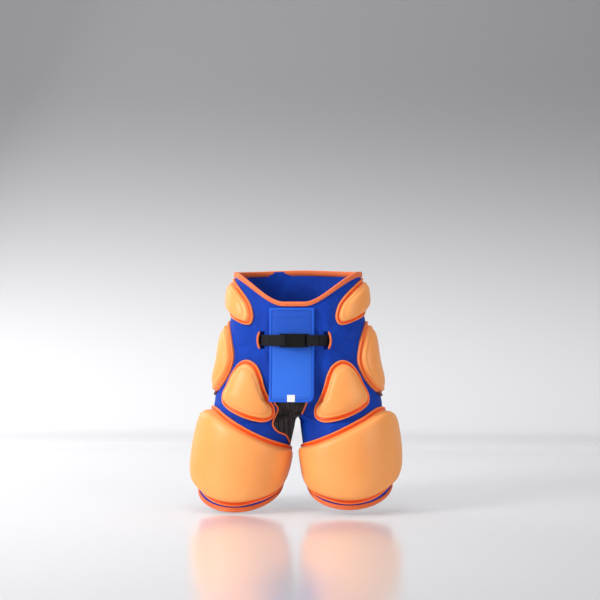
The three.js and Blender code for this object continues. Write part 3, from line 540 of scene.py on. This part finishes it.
def cord_piece(name, path, radius, look, sides=12):
    """A round cord along a path, tapered to closed ends."""
    tangent = np.gradient(path, axis=0)
    tangent /= np.linalg.norm(tangent, axis=1, keepdims=True)
    across = np.cross(tangent, [0, 1, 0])
    across /= np.linalg.norm(across, axis=1, keepdims=True)
    out = np.cross(across, tangent)
    angle = 2 * np.pi * np.arange(sides) / sides
    from_end = np.minimum(np.arange(len(path)), np.arange(len(path))[::-1])
    taper = np.sqrt(np.clip(from_end / 3, 0.15, 1))[:, None, None]
    circle = across[:, None] * np.cos(angle)[None, :, None] + out[:, None] * np.sin(angle)[None, :, None]
    count = len(path) * sides
    faces = skin_faces(len(path), sides) + [list(range(sides)), list(range(count - sides, count))]
    return mesh_piece(name, path[:, None] + radius * taper * circle, faces, look)


for name, seam in [("gusset_piping_right", right_seam[4:]), ("gusset_piping_left", left_seam[4:-4])]:
    path = cloth_front(seam[:, 0], seam[:, 1], PIPING_RADIUS - 0.0009)
    finish_piece(cord_piece(f"{name}_cord", path, PIPING_RADIUS, tape), "binding_tape", name)
for side in (RIGHT, LEFT):
    edge = slit_edge(side, TAPE_RADIUS * 0.6, 28)
    path = cloth_front(edge[:, 0], edge[:, 1], TAPE_RADIUS - 0.0012)
    name = f"slot_binding_{SIDE_NAMES[side]}"
    finish_piece(cord_piece(f"{name}_cord", path, TAPE_RADIUS, tape), "binding_tape", name)

# Pads: moulded closed-cell foam with a smooth light orange skin, pressed from one sheet each. A raised core stands
# on a thin deeper orange flange with a pale rolled rim, and the flange is sewn to the cloth. They are firm, so they
# are made as formed here and not blown up as a stuffed cushion is.
FLANGE_WIDTH = 0.009
FLANGE_FLOOR = 0.0023
INNER_THIGH_THICKNESS = 0.013
PAD_POINTS = 200
# The flange's section: inset from the edge, height off the cloth, share of the core's colour, share of the rim's.
FLANGE = [
    (0.0, -0.0035, 0, 1), (0.0, 0.0005, 0, 1), (0.0, 0.0022, 0, 1), (0.0004, 0.0036, 0, 1), (0.0012, 0.0045, 0, 1),
    (0.0021, 0.0046, 0, 1), (0.0029, 0.0040, 0, 0.9), (0.0035, 0.0030, 0, 0.3), (0.0042, 0.0026, 0, 0),
    (0.0055, 0.0030, 0, 0), (0.0068, 0.0030, 0, 0), (0.0080, 0.0026, 0, 0), (0.0088, 0.0023, 0.15, 0),
]
# The core's section: share of the way in to its middle, share of its height. Small pads have a ledge round them.
LEDGED = [
    (0.0, 0.0), (0.012, 0.12), (0.024, 0.26), (0.036, 0.38), (0.05, 0.46), (0.07, 0.5), (0.1, 0.522), (0.13, 0.54),
    (0.15, 0.57), (0.17, 0.63), (0.2, 0.7), (0.24, 0.77), (0.29, 0.83), (0.35, 0.88), (0.43, 0.92), (0.52, 0.955),
    (0.62, 0.975), (0.72, 0.99), (0.82, 0.997), (0.9, 1.0), (0.97, 1.0),
]
SHOULDERED = [
    (0.0, 0.0), (0.008, 0.1), (0.016, 0.22), (0.026, 0.36), (0.038, 0.5), (0.052, 0.61), (0.068, 0.7), (0.088, 0.775),
    (0.11, 0.83), (0.14, 0.875), (0.18, 0.91), (0.24, 0.94), (0.32, 0.962), (0.42, 0.978), (0.52, 0.988), (0.62, 0.994),
    (0.72, 0.998), (0.82, 1.0), (0.9, 1.0), (0.97, 1.0),
]
# Outlines as turns from straight ahead, in degrees, and places down the shorts.
PADS = {
    "waist_pad": dict(thickness=0.020, around=around_body, reach=HIP_WIDTH / 2, core=LEDGED, outline=[
        (92, -0.19), (70, -0.132), (52, 0), (45.5, 0.12), (47, 0.196), (53, 0.208),
        (66, 0.172), (86, 0.115), (104, 0.05), (113, -0.04), (108, -0.15),
    ]),
    "hip_pad": dict(thickness=0.023, around=around_body, reach=HIP_WIDTH / 2, core=LEDGED, outline=[
        (84, 0.19), (73, 0.27), (66.5, 0.4), (64.5, 0.54), (68, 0.67), (77, 0.775),
        (90, 0.83), (103, 0.77), (113, 0.65), (117, 0.5), (113, 0.33), (100, 0.205),
    ]),
    "groin_pad": dict(thickness=0.021, around=around_leg, reach=THIGH_WIDTH / 2, core=LEDGED, outline=[
        (14, 0.505), (0, 0.545), (-9, 0.63), (-16, 0.74), (-24, 0.835), (-32, 0.91), (-32, 0.99), (-21, 1.035),
        (-5, 1.02), (12, 0.98), (31, 0.925), (43, 0.87), (46, 0.8), (41, 0.71), (36, 0.615), (27, 0.535),
    ]),
    "thigh_pad": dict(thickness=0.030, around=around_leg, reach=THIGH_WIDTH / 2, core=SHOULDERED, outline=[
        (105, 0.97), (88, 0.925), (68, 0.91), (50, 0.93), (30, 0.985), (9, 1.065), (-12, 1.15), (-36, 1.23),
        (-62, 1.29), (-85, 1.335), (-98, 1.42), (-101, 1.55), (-93, 1.68), (-78, 1.765), (-58, 1.84), (-35, 1.895),
        (-8, 1.94), (14, 1.935), (34, 1.895), (55, 1.82), (77, 1.73), (96, 1.6), (110, 1.44), (115, 1.26), (113, 1.08),
    ]),
}
foam = Look("pad foam", Roughness=0.4, Specular_IOR_Level=0.35)
flange_tone = foam.mix(foam.mark("rim"), linear(252, 88, 12), linear(255, 142, 74))
core_tone = foam.mix(foam.noise(0.09), linear(252, 156, 78), linear(255, 174, 102))
moulded = foam.mix(foam.mark("core").between(0.0, 1.0), flange_tone, core_tone)
# Painted shade: the hip pads' flange is darkened to a red-brown near its lowest tip.
foam.drive("Base Color", foam.mix(foam.mark("tip_shade"), moulded, linear(96, 26, 10)))
foam.bump(foam.noise(0.0016, 2) + foam.noise(0.006, 2), 0.00025, 0.4)
foam.drive("Roughness", foam.noise(0.03) * 0.12 + 0.34)
stitch_lines = {}


def evenly_spaced(outline, count):
    closed = np.vstack([outline, outline[:1]])
    run = np.concatenate([[0], np.cumsum(np.linalg.norm(np.diff(closed, axis=0), axis=1))])
    wanted = np.linspace(0, run[-1], count, endpoint=False)
    return np.column_stack([np.interp(wanted, run, closed[:, k]) for k in (0, 1)])


def pad_piece(name, pad, side):
    corners = np.array([(math.radians(turn) * pad["reach"], height_at(side, down)) for turn, down in pad["outline"]])
    edge = evenly_spaced(spline(corners, 60, closed=True), PAD_POINTS)
    tangent = np.roll(edge, -1, 0) - np.roll(edge, 1, 0)
    tangent /= np.linalg.norm(tangent, axis=1, keepdims=True)
    middle = edge.mean(0)
    spoke = edge - middle
    reach = np.linalg.norm(spoke, axis=1, keepdims=True)
    spoke /= reach
    facing = np.maximum(np.abs(spoke[:, 0] * tangent[:, 1] - spoke[:, 1] * tangent[:, 0]), 0.5)[:, None]

    def ring(inset, inwards, height):
        flat = middle + spoke * (reach - inset / facing) * (1 - inwards)
        turn = np.degrees(flat[:, 0] / pad["reach"])
        thin = smooth_share(-turn, 25, 85) if name.startswith("thigh") else 0
        thickness = pad["thickness"] + (INNER_THIGH_THICKNESS - pad["thickness"]) * thin
        return pad["around"](side, turn, flat[:, 1], height(thickness) + np.zeros(PAD_POINTS))

    rings = [ring(inset, 0, lambda thickness: height) for inset, height, _, _ in FLANGE]
    rings += [
        ring(FLANGE_WIDTH, inwards, lambda thickness: FLANGE_FLOOR + (thickness - FLANGE_FLOOR) * share)
        for inwards, share in pad["core"]
    ]
    rings = np.array(rings)
    rows = len(rings)
    core = np.repeat([share for _, _, share, _ in FLANGE] + [0.4, 0.7] + [1] * (len(pad["core"]) - 2), PAD_POINTS)
    rim = np.repeat([share for _, _, _, share in FLANGE] + [0] * len(pad["core"]), PAD_POINTS)
    # Painted shade near the lowest tip of the hip pads' flange; the other pads get none.
    tip_shade = np.zeros(rows * PAD_POINTS)
    if name.startswith("hip"):
        tip_shade_share = smooth_share(rings[..., 2].min() + 0.017 - rings[..., 2], 0, 0.006)
        tip_shade = (tip_shade_share * (np.arange(rows) < len(FLANGE) + 2)[:, None]).ravel()
    top = rows * PAD_POINTS
    faces = skin_faces(rows, PAD_POINTS)
    faces += [[top, top - PAD_POINTS + (i + 1) % PAD_POINTS, top - PAD_POINTS + i] for i in range(PAD_POINTS)]
    faces += [[top + 1, i, (i + 1) % PAD_POINTS] for i in range(PAD_POINTS)]
    points = np.vstack([rings.reshape(-1, 3), rings[-1].mean(0, keepdims=True), rings[0].mean(0, keepdims=True)])
    marks = {"core": np.append(core, (1, 0)), "rim": np.append(rim, (0, 0)), "tip_shade": np.append(tip_shade, (0, 0))}
    stitch_lines[f"{name}_stitches"] = ring(0.0062, 0, lambda thickness: 0.0030)
    return mesh_piece(f"{name}_foam", points, faces, foam, marks)


for kind, pad in PADS.items():
    for side in (RIGHT, LEFT):
        name = f"{kind}_{SIDE_NAMES[side]}"
        piece = pad_piece(name, pad, side)
        finish_piece(piece, "pad_foam", name)

# Stitching on the pads: a lock stitch in orange thread that sinks into the flange of every pad and holds it to the
# cloth. A tree of geometry nodes lays the short threads along each line.
thread = Look("thread", Roughness=0.5)
thread.drive("Base Color", thread.mix(thread.noise(0.01), linear(190, 62, 12), linear(222, 92, 30)))


def stitching_tree():
    tree = bpy.data.node_groups.new("stitching", "GeometryNodeTree")
    tree.interface.new_socket("Line", in_out="INPUT", socket_type="NodeSocketGeometry")
    for name in ("Pitch", "Length", "Width"):
        tree.interface.new_socket(name, in_out="INPUT", socket_type="NodeSocketFloat")
    tree.interface.new_socket("Thread", in_out="INPUT", socket_type="NodeSocketMaterial")
    tree.interface.new_socket("Stitches", in_out="OUTPUT", socket_type="NodeSocketGeometry")

    def node(kind, settings, inputs):
        made = tree.nodes.new(kind)
        for name, value in settings.items():
            setattr(made, name, value)
        for socket, value in inputs.items():
            if isinstance(value, bpy.types.NodeSocket):
                tree.links.new(value, made.inputs[socket])
            else:
                made.inputs[socket].default_value = value
        return made.outputs

    given = node("NodeGroupInput", {}, {})
    curve = node("GeometryNodeMeshToCurve", {}, {"Mesh": given["Line"]})
    even = node("GeometryNodeResampleCurve", {"mode": "LENGTH"}, {"Curve": curve["Curve"], "Length": given["Pitch"]})
    points = node("GeometryNodeCurveToPoints", {"mode": "EVALUATED"}, {"Curve": even["Curve"]})
    off = node("GeometryNodeInputNamedAttribute", {"data_type": "FLOAT_VECTOR"}, {"Name": "off_cloth"})
    lying = node("FunctionNodeAlignRotationToVector", {"axis": "X"}, {"Vector": points["Tangent"]})
    upright = {"Rotation": lying["Rotation"], "Vector": off["Attribute"]}
    facing = node("FunctionNodeAlignRotationToVector", {"axis": "Z", "pivot_axis": "X"}, upright)
    size = node("ShaderNodeCombineXYZ", {}, {"X": given["Length"], "Y": given["Width"], "Z": given["Width"]})
    stitch = node("GeometryNodeMeshUVSphere", {}, {"Segments": 6, "Rings": 5, "Radius": 0.5})
    placed = {"Points": points["Points"], "Instance": stitch["Mesh"], "Rotation": facing["Rotation"]}
    laid = node("GeometryNodeInstanceOnPoints", {}, {**placed, "Scale": size["Vector"]})
    real = node("GeometryNodeRealizeInstances", {}, {"Geometry": laid["Instances"]})
    smooth = node("GeometryNodeSetShadeSmooth", {}, {"Geometry": real["Geometry"]})
    dyed = node("GeometryNodeSetMaterial", {}, {"Geometry": smooth["Geometry"], "Material": given["Thread"]})
    node("NodeGroupOutput", {}, {"Stitches": dyed["Geometry"]})
    return tree


stitching = stitching_tree()


def sew(name, line, slot, look, closed=True, pitch=0.0042, length=0.0031, width=0.0011):
    """Threads along a line of points on the cloth or on what lies over it, as one mesh."""
    count = len(line)
    edges = [(i, (i + 1) % count) for i in range(count if closed else count - 1)]
    mesh = bpy.data.meshes.new(name)
    mesh.from_pydata(line.tolist(), edges, [])
    mesh.attributes.new("off_cloth", "FLOAT_VECTOR", "POINT").data.foreach_set("vector", outward(line).ravel())
    piece = bpy.data.objects.new(name, mesh)
    bpy.context.scene.collection.objects.link(piece)
    modifier = piece.modifiers.new("stitching", "NODES")
    modifier.node_group = stitching
    values = {"Pitch": pitch, "Length": length, "Width": width, "Thread": look.material}
    for item in stitching.interface.items_tree:
        if item.name in values:
            modifier[item.identifier] = values[item.name]
    made = bpy.data.meshes.new_from_object(piece.evaluated_get(bpy.context.evaluated_depsgraph_get()))
    piece.modifiers.clear()
    piece.data = made
    finish_piece(piece, slot)


for name, line in stitch_lines.items():
    sew(name, line, "binding_tape", thread)

# Closing flap: brushed loop cloth in a lighter blue on a firm backing, bound in its own colour. It hangs from the
# waist over the front, held by the strap, and stands off the body towards its lower end.
FLAP_WIDTH = 0.103
FLAP_HEIGHT = 0.214
FLAP_THICKNESS = 0.004
FLAP_MIDDLE = -0.0045
FLAP_TOP = -0.018
FLAP_BOTTOM = FLAP_TOP - FLAP_HEIGHT
FLAP_STAND_OFF = 0.014
FLAP_CORNER = 0.016
FLAP_LEFT = FLAP_MIDDLE - FLAP_WIDTH / 2
FLAP_RIGHT = FLAP_MIDDLE + FLAP_WIDTH / 2
FLAP_CLEARS_AT = -0.62 * RISE
FLAP_POINTS = 320
# The flap's section: inset from its edge, height, and share of the border's colour.
FLAP_SECTION = [
    (0.0006, 0.0002, 1), (0.0, 0.0010, 1), (0.0, 0.0030, 1), (0.0005, 0.0040, 1), (0.0014, 0.0045, 1),
    (0.0044, 0.0045, 1), (0.0052, 0.0042, 1), (0.0058, 0.0033, 0.5), (0.0066, 0.0034, 0), (0.009, 0.0038, 0),
    (0.014, 0.0040, 0),
]
flap_cloth = Look("flap cloth", Roughness=0.75, Specular_IOR_Level=0.25, Sheen_Weight=0.1, Sheen_Roughness=0.5)
flap_cloth.shader.inputs["Sheen Tint"].default_value = linear(150, 190, 255)
pile = flap_cloth.noise(0.0011, 4)
brushed = flap_cloth.noise(0.05, 2) * 0.3 + pile * 0.4 + 0.15
# Painted light: the flap's colour is lighter towards its lower end and darker at its top, on top of its brushed tone.
painted_light_below = (1 - flap_cloth.axis("Z").between(-0.17, -0.05)) * 0.5
flap_tone_and_painted_light = flap_cloth.mix(brushed * 0.6 + painted_light_below, linear(12, 60, 168), linear(52, 116, 228))
flap_cloth.drive("Base Color", flap_cloth.mix(flap_cloth.mark("border"), flap_tone_and_painted_light, linear(30, 92, 208)))
flap_cloth.bump(pile, 0.0006, 0.6)


def on_flap(x, z, lift):
    x, z, lift = np.broadcast_arrays(np.asarray(x, float), z, lift)
    down = np.clip((-STRAP_DROP - z) / (FLAP_HEIGHT - STRAP_DROP), 0, 2)
    cloth = cloth_front(x, np.maximum(z, FLAP_CLEARS_AT), np.zeros_like(x))
    return np.stack([x, cloth[..., 1] - GAP - FLAP_STAND_OFF * down**2 - lift, z], -1)


def rounded(corners, steps=8):
    """A closed outline from corners, each with x, z and how far from it the rounding starts."""
    outline = []
    for i, (x, z, start) in enumerate(corners):
        here = np.array([x, z])
        before = np.array(corners[i - 1][:2]) - here
        after = np.array(corners[(i + 1) % len(corners)][:2]) - here
        a, b = here + before / np.linalg.norm(before) * start, here + after / np.linalg.norm(after) * start
        t = np.linspace(0, 1, steps)[:, None]
        outline.append((1 - t) ** 2 * a + 2 * t * (1 - t) * here + t**2 * b)
    return np.vstack(outline)


def plate(name, outline, section, look, rings=20):
    """A thin plate over the flap's face, with a section from its edge inwards."""
    middle = (outline.max(0) + outline.min(0)) / 2
    half = (outline.max(0) - outline.min(0)) / 2
    rows, shares = [], []
    last_inset, last_height, _ = section[-1]
    steps = [(inset, 0, height, share) for inset, height, share in section]
    steps += [(last_inset, inwards, last_height, 0) for inwards in np.linspace(0, 1, rings + 1)[1:-1]]
    for inset, inwards, height, share in steps:
        flat = middle + (outline - middle) * (1 - inset / half) * (1 - inwards)
        rows.append(on_flap(flat[:, 0], flat[:, 1], height))
        shares.append(np.full(len(outline), share))
    count = len(rows) * len(outline)
    ends = [list(range(len(outline))), list(range(count - len(outline), count))]
    return mesh_piece(name, np.array(rows), skin_faces(len(rows), len(outline)) + ends, look, {"border": shares})


flap_outline = evenly_spaced(rounded([
    (FLAP_LEFT, FLAP_BOTTOM, 0.002), (FLAP_RIGHT, FLAP_BOTTOM, FLAP_CORNER),
    (FLAP_RIGHT, FLAP_TOP, 0.002), (FLAP_LEFT, FLAP_TOP, 0.002),
]), FLAP_POINTS)
flap = plate("front_flap_cloth", flap_outline, FLAP_SECTION, flap_cloth)
finish_piece(flap, "flap_cloth", "front_flap")
flap_thread = Look("flap thread", Roughness=0.5)
flap_thread.drive("Base Color", flap_thread.mix(flap_thread.noise(0.01), linear(12, 46, 132), linear(24, 66, 160)))
flap_middle = np.array([FLAP_MIDDLE, (FLAP_TOP + FLAP_BOTTOM) / 2])
sewn = flap_middle + (flap_outline - flap_middle) * (1 - 0.0066 / (np.array([FLAP_WIDTH, FLAP_HEIGHT]) / 2))
sew("flap_stitches", on_flap(sewn[:, 0], sewn[:, 1], 0.0035), "flap_cloth", flap_thread, pitch=0.0036, length=0.0026)
for name, z in [("flap_stitches_top", FLAP_TOP - 0.022), ("flap_stitches_low", FLAP_BOTTOM + 0.011)]:
    x = np.linspace(FLAP_LEFT + 0.007, FLAP_RIGHT - 0.007, 60)
    sew(name, on_flap(x, z, 0.0040), "flap_cloth", flap_thread, closed=False, pitch=0.0036, length=0.0026)

# Label: a small folded piece of white woven tape on the flap's lower edge, left blank.
LABEL_WIDTH = 0.018
LABEL_HEIGHT = 0.016
LABEL_SECTION = [(0.0001, 0.0046, 0), (0.0, 0.0049, 0), (0.0, 0.0052, 0), (0.0003, 0.0055, 0), (0.0012, 0.0056, 0)]
label_look = Look("label", Roughness=0.6)
label_look.drive("Base Color", label_look.mix(label_look.noise(0.004), linear(222, 222, 220), linear(246, 246, 244)))
label_look.bump(label_look.axis("Z").wave(0.0006) + label_look.axis("X").wave(0.0005), 0.0001, 0.5)
label_left, label_right = FLAP_MIDDLE - LABEL_WIDTH / 2, FLAP_MIDDLE + LABEL_WIDTH / 2
label_bottom = FLAP_BOTTOM + 0.001
label_outline = evenly_spaced(rounded([
    (label_left, label_bottom, 0.001), (label_right, label_bottom, 0.001),
    (label_right, label_bottom + LABEL_HEIGHT, 0.001), (label_left, label_bottom + LABEL_HEIGHT, 0.001),
]), 96)
label = plate("label_tab_woven", label_outline, LABEL_SECTION, label_look, rings=4)
finish_piece(label, "label", "label_tab")

# Strap: black ribbed webbing in two lengths, each sewn behind the shell, brought out of its slit, over the flap and
# through its end of the buckle, and folded back on itself. Fastened, it stays as it is.
WEBBING_WIDTH = 0.025
WEBBING_THICKNESS = 0.0018
FREE_PLAY = 0.0005
STRAP_TAIL = 0.022
BUCKLE_LENGTH = 0.066
BUCKLE_MIDDLE = 0.002
BUCKLE_PLATE = 0.0032
BUCKLE_BAR = 0.0034
BUCKLE_SLOT = 0.005
STRAP_LIFT = FLAP_THICKNESS + GAP + WEBBING_THICKNESS / 2 + FREE_PLAY
BUCKLE_BACK = STRAP_LIFT + WEBBING_THICKNESS / 2 + FREE_PLAY
PLUG_END = BUCKLE_MIDDLE - BUCKLE_LENGTH / 2
PLUG_BODY = PLUG_END + 2 * (BUCKLE_BAR + BUCKLE_SLOT)
SOCKET_END = BUCKLE_MIDDLE + BUCKLE_LENGTH / 2
SOCKET_BODY = SOCKET_END - BUCKLE_BAR - BUCKLE_SLOT
webbing_look = Look("webbing", Roughness=0.7, Specular_IOR_Level=0.25)
webbing_look.drive("Base Color", webbing_look.mix(webbing_look.noise(0.01), linear(14, 13, 16), linear(34, 33, 38)))
ribs = webbing_look.axis("Z").wave(0.0016) + webbing_look.axis("X").wave(0.0021) * 0.7
webbing_look.bump(ribs, 0.0004, 0.8)


def front_y(x):
    return float(cloth_front(np.array([x]), -STRAP_DROP, 0.0)[0, 1])


def strap_route(side, end, slot):
    """Places along one length of the strap, seen from above, from where it is sewn to its folded tail."""

    def place(x, lift):
        return (x, front_y(x) - lift)

    def level(x, lift):
        return (x, front_y(BUCKLE_MIDDLE) - lift)

    behind = -CLOTH - GAP - 4 * FREE_PLAY - WEBBING_THICKNESS / 2
    out_of_slit = GAP + WEBBING_THICKNESS / 2 + 2 * FREE_PLAY
    flap_edge = FLAP_MIDDLE + side * FLAP_WIDTH / 2
    over_bar = BUCKLE_BACK + BUCKLE_PLATE + FREE_PLAY + WEBBING_THICKNESS / 2
    past_end = end + side * (FREE_PLAY + WEBBING_THICKNESS)
    far = end + side * STRAP_TAIL
    slit_inner = side * (SLIT_FROM_MIDDLE + FREE_PLAY)
    slit_outer = side * (SLIT_FROM_MIDDLE + SLIT_WIDTH + 3 * FREE_PLAY)
    sewn_end = slit_outer + side * 0.022
    shoulder = side * max(side * flap_edge + 0.002, side * far + 0.003)
    between = [shoulder + (past_end - shoulder) * share for share in (0, 0.25, 0.5, 0.75)]
    return [
        place(sewn_end, behind), place((sewn_end + slit_outer) / 2, behind), place(slit_outer, behind),
        place(slit_inner, out_of_slit), *[place(x, STRAP_LIFT) for x in between], level(past_end, STRAP_LIFT),
        level(slot, STRAP_LIFT), level(slot, over_bar), level(past_end, over_bar),
        place(far, STRAP_LIFT + WEBBING_THICKNESS + FREE_PLAY),
    ]


def webbing(name, route):
    """Webbing along a route, with rounded selvedges."""
    path = spline(route, 6)
    tangent = np.gradient(path, axis=0)
    tangent /= np.linalg.norm(tangent, axis=1, keepdims=True)
    normal = np.column_stack([-tangent[:, 1], tangent[:, 0]])
    half_t = WEBBING_THICKNESS / 2
    flat_w = WEBBING_WIDTH / 2 - half_t
    selvedge = [(flat_w + half_t * math.cos(a), half_t * math.sin(a)) for a in np.pi * np.linspace(-0.5, 0.5, 5)]
    face = [(w, half_t) for w in np.linspace(flat_w, -flat_w, 7)[1:-1]]
    section = np.array(selvedge + face + [(-w, -t) for w, t in selvedge + face])
    rings = np.empty((len(path), len(section), 3))
    rings[..., :2] = path[:, None] + normal[:, None] * section[None, :, 1:2]
    rings[..., 2] = -STRAP_DROP + section[:, 0]
    count = len(path) * len(section)
    ends = [list(range(len(section))), list(range(count - len(section), count))]
    return mesh_piece(name, rings, skin_faces(len(path), len(section)) + ends, webbing_look)


for side, end, slot in [(RIGHT, PLUG_END, PLUG_BODY - BUCKLE_SLOT / 2), (LEFT, SOCKET_END, SOCKET_BODY + BUCKLE_SLOT / 2)]:
    name = f"strap_{SIDE_NAMES[side]}"
    finish_piece(webbing(f"{name}_webbing", strap_route(side, end, slot)), "webbing", name)

# Buckle: a plug that clips into a socket, both moulded in black plastic with a fine grain and soft edges. The packed
# shapes are right, so they stay and only get their finish and a small rounding.
plastic = Look("buckle plastic", Roughness=0.35, Specular_IOR_Level=0.3)
plastic.drive("Base Color", plastic.mix(plastic.noise(0.01), linear(4, 6, 5), linear(12, 14, 12)))
plastic.bump(plastic.noise(0.0008, 2), 0.0001, 0.4)
for node in ("buckle_plug", "buckle_socket"):
    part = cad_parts[node]
    for material_slot in part.material_slots:
        material_slot.material = plastic.material
    bevel = part.modifiers.new("rounded edges", "BEVEL")
    bevel.width = 0.0009
    bevel.segments = 3
    bevel.limit_method = "ANGLE"

# Camera at the photograph's height and distance, turned a little towards the wearer's left.
VIEW_TURN = math.radians(5)
VIEW_DISTANCE = 3.2
VIEW_ASIDE = 0.0047
camera_data = bpy.data.cameras.new("camera")
camera_data.sensor_width = 36
camera_data.lens = 81.4
camera_data.clip_end = 50
camera = bpy.data.objects.new("camera", camera_data)
bpy.context.scene.collection.objects.link(camera)
aside = Vector((math.cos(VIEW_TURN), math.sin(VIEW_TURN), 0))
back = Vector((math.sin(VIEW_TURN), -math.cos(VIEW_TURN), 0))
camera.location = back * VIEW_DISTANCE + aside * VIEW_ASIDE
camera.rotation_euler = (math.pi / 2, 0, VIEW_TURN)
bpy.context.scene.camera = camera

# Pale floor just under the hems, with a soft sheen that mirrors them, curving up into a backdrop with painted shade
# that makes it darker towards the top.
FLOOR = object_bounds()[0][2] - 0.004
SWEEP_START = 1.2
SWEEP_RADIUS = 0.9
stage_look = Look("backdrop", IOR=2.0, Metallic=0.35)
stage_look.drive("Roughness", stage_look.axis("Z").between(FLOOR + 0.002, FLOOR + 0.06) * 0.7 + 0.2)
# Painted shade: the backdrop's colour darkens with height.
height = stage_look.axis("Z").between(-0.5, 0.9)
stage_look.drive("Base Color", stage_look.mix(height, linear(238, 238, 240), linear(150, 150, 152)))
curve = [(SWEEP_START + SWEEP_RADIUS * math.sin(a), SWEEP_RADIUS * (1 - math.cos(a))) for a in np.linspace(0, 1.57, 24)]
profile = [(-6.0, 0.0), *curve, (SWEEP_START + SWEEP_RADIUS, 4.0)]
sweep = [[x, y, FLOOR + z] for y, z in profile for x in (-6.0, 6.0)]
quads = [[2 * i, 2 * i + 1, 2 * i + 3, 2 * i + 2] for i in range(len(profile) - 1)]
mesh_piece("backdrop", sweep, quads, stage_look)


# Soft studio light: a large key from the left, a weak fill from the right, and softer light from above and behind.
def softbox(name, place, target, size, power):
    data = bpy.data.lights.new(name, "AREA")
    data.shape = "RECTANGLE"
    data.size, data.size_y = size
    data.energy = power
    light = bpy.data.objects.new(name, data)
    light.location = place
    light.rotation_euler = (Vector(target) - Vector(place)).to_track_quat("-Z", "Y").to_euler()
    bpy.context.scene.collection.objects.link(light)


softbox("key", (-2.2, -1.7, 1.1), (0, 0, -0.2), (0.9, 1.6), 78)
softbox("fill", (2.6, -1.8, 0.3), (0, 0, -0.25), (1.4, 1.8), 24)
softbox("top", (-0.3, -0.6, 2.6), (0, 0, -0.2), (2.0, 1.6), 20)
softbox("back_left", (-1.8, 1.3, 0.9), (0, 0, -0.2), (0.8, 1.6), 14)
softbox("backdrop_light", (0, 0.2, 3.2), (0, 1.6, -0.4), (3.0, 1.0), 28)
world = bpy.data.worlds.new("world")
world.use_nodes = True
world.node_tree.nodes["Background"].inputs["Color"].default_value = (1, 1, 1, 1)
world.node_tree.nodes["Background"].inputs["Strength"].default_value = 0.3
bpy.context.scene.world = world
bpy.context.scene.view_settings.view_transform = "Standard"
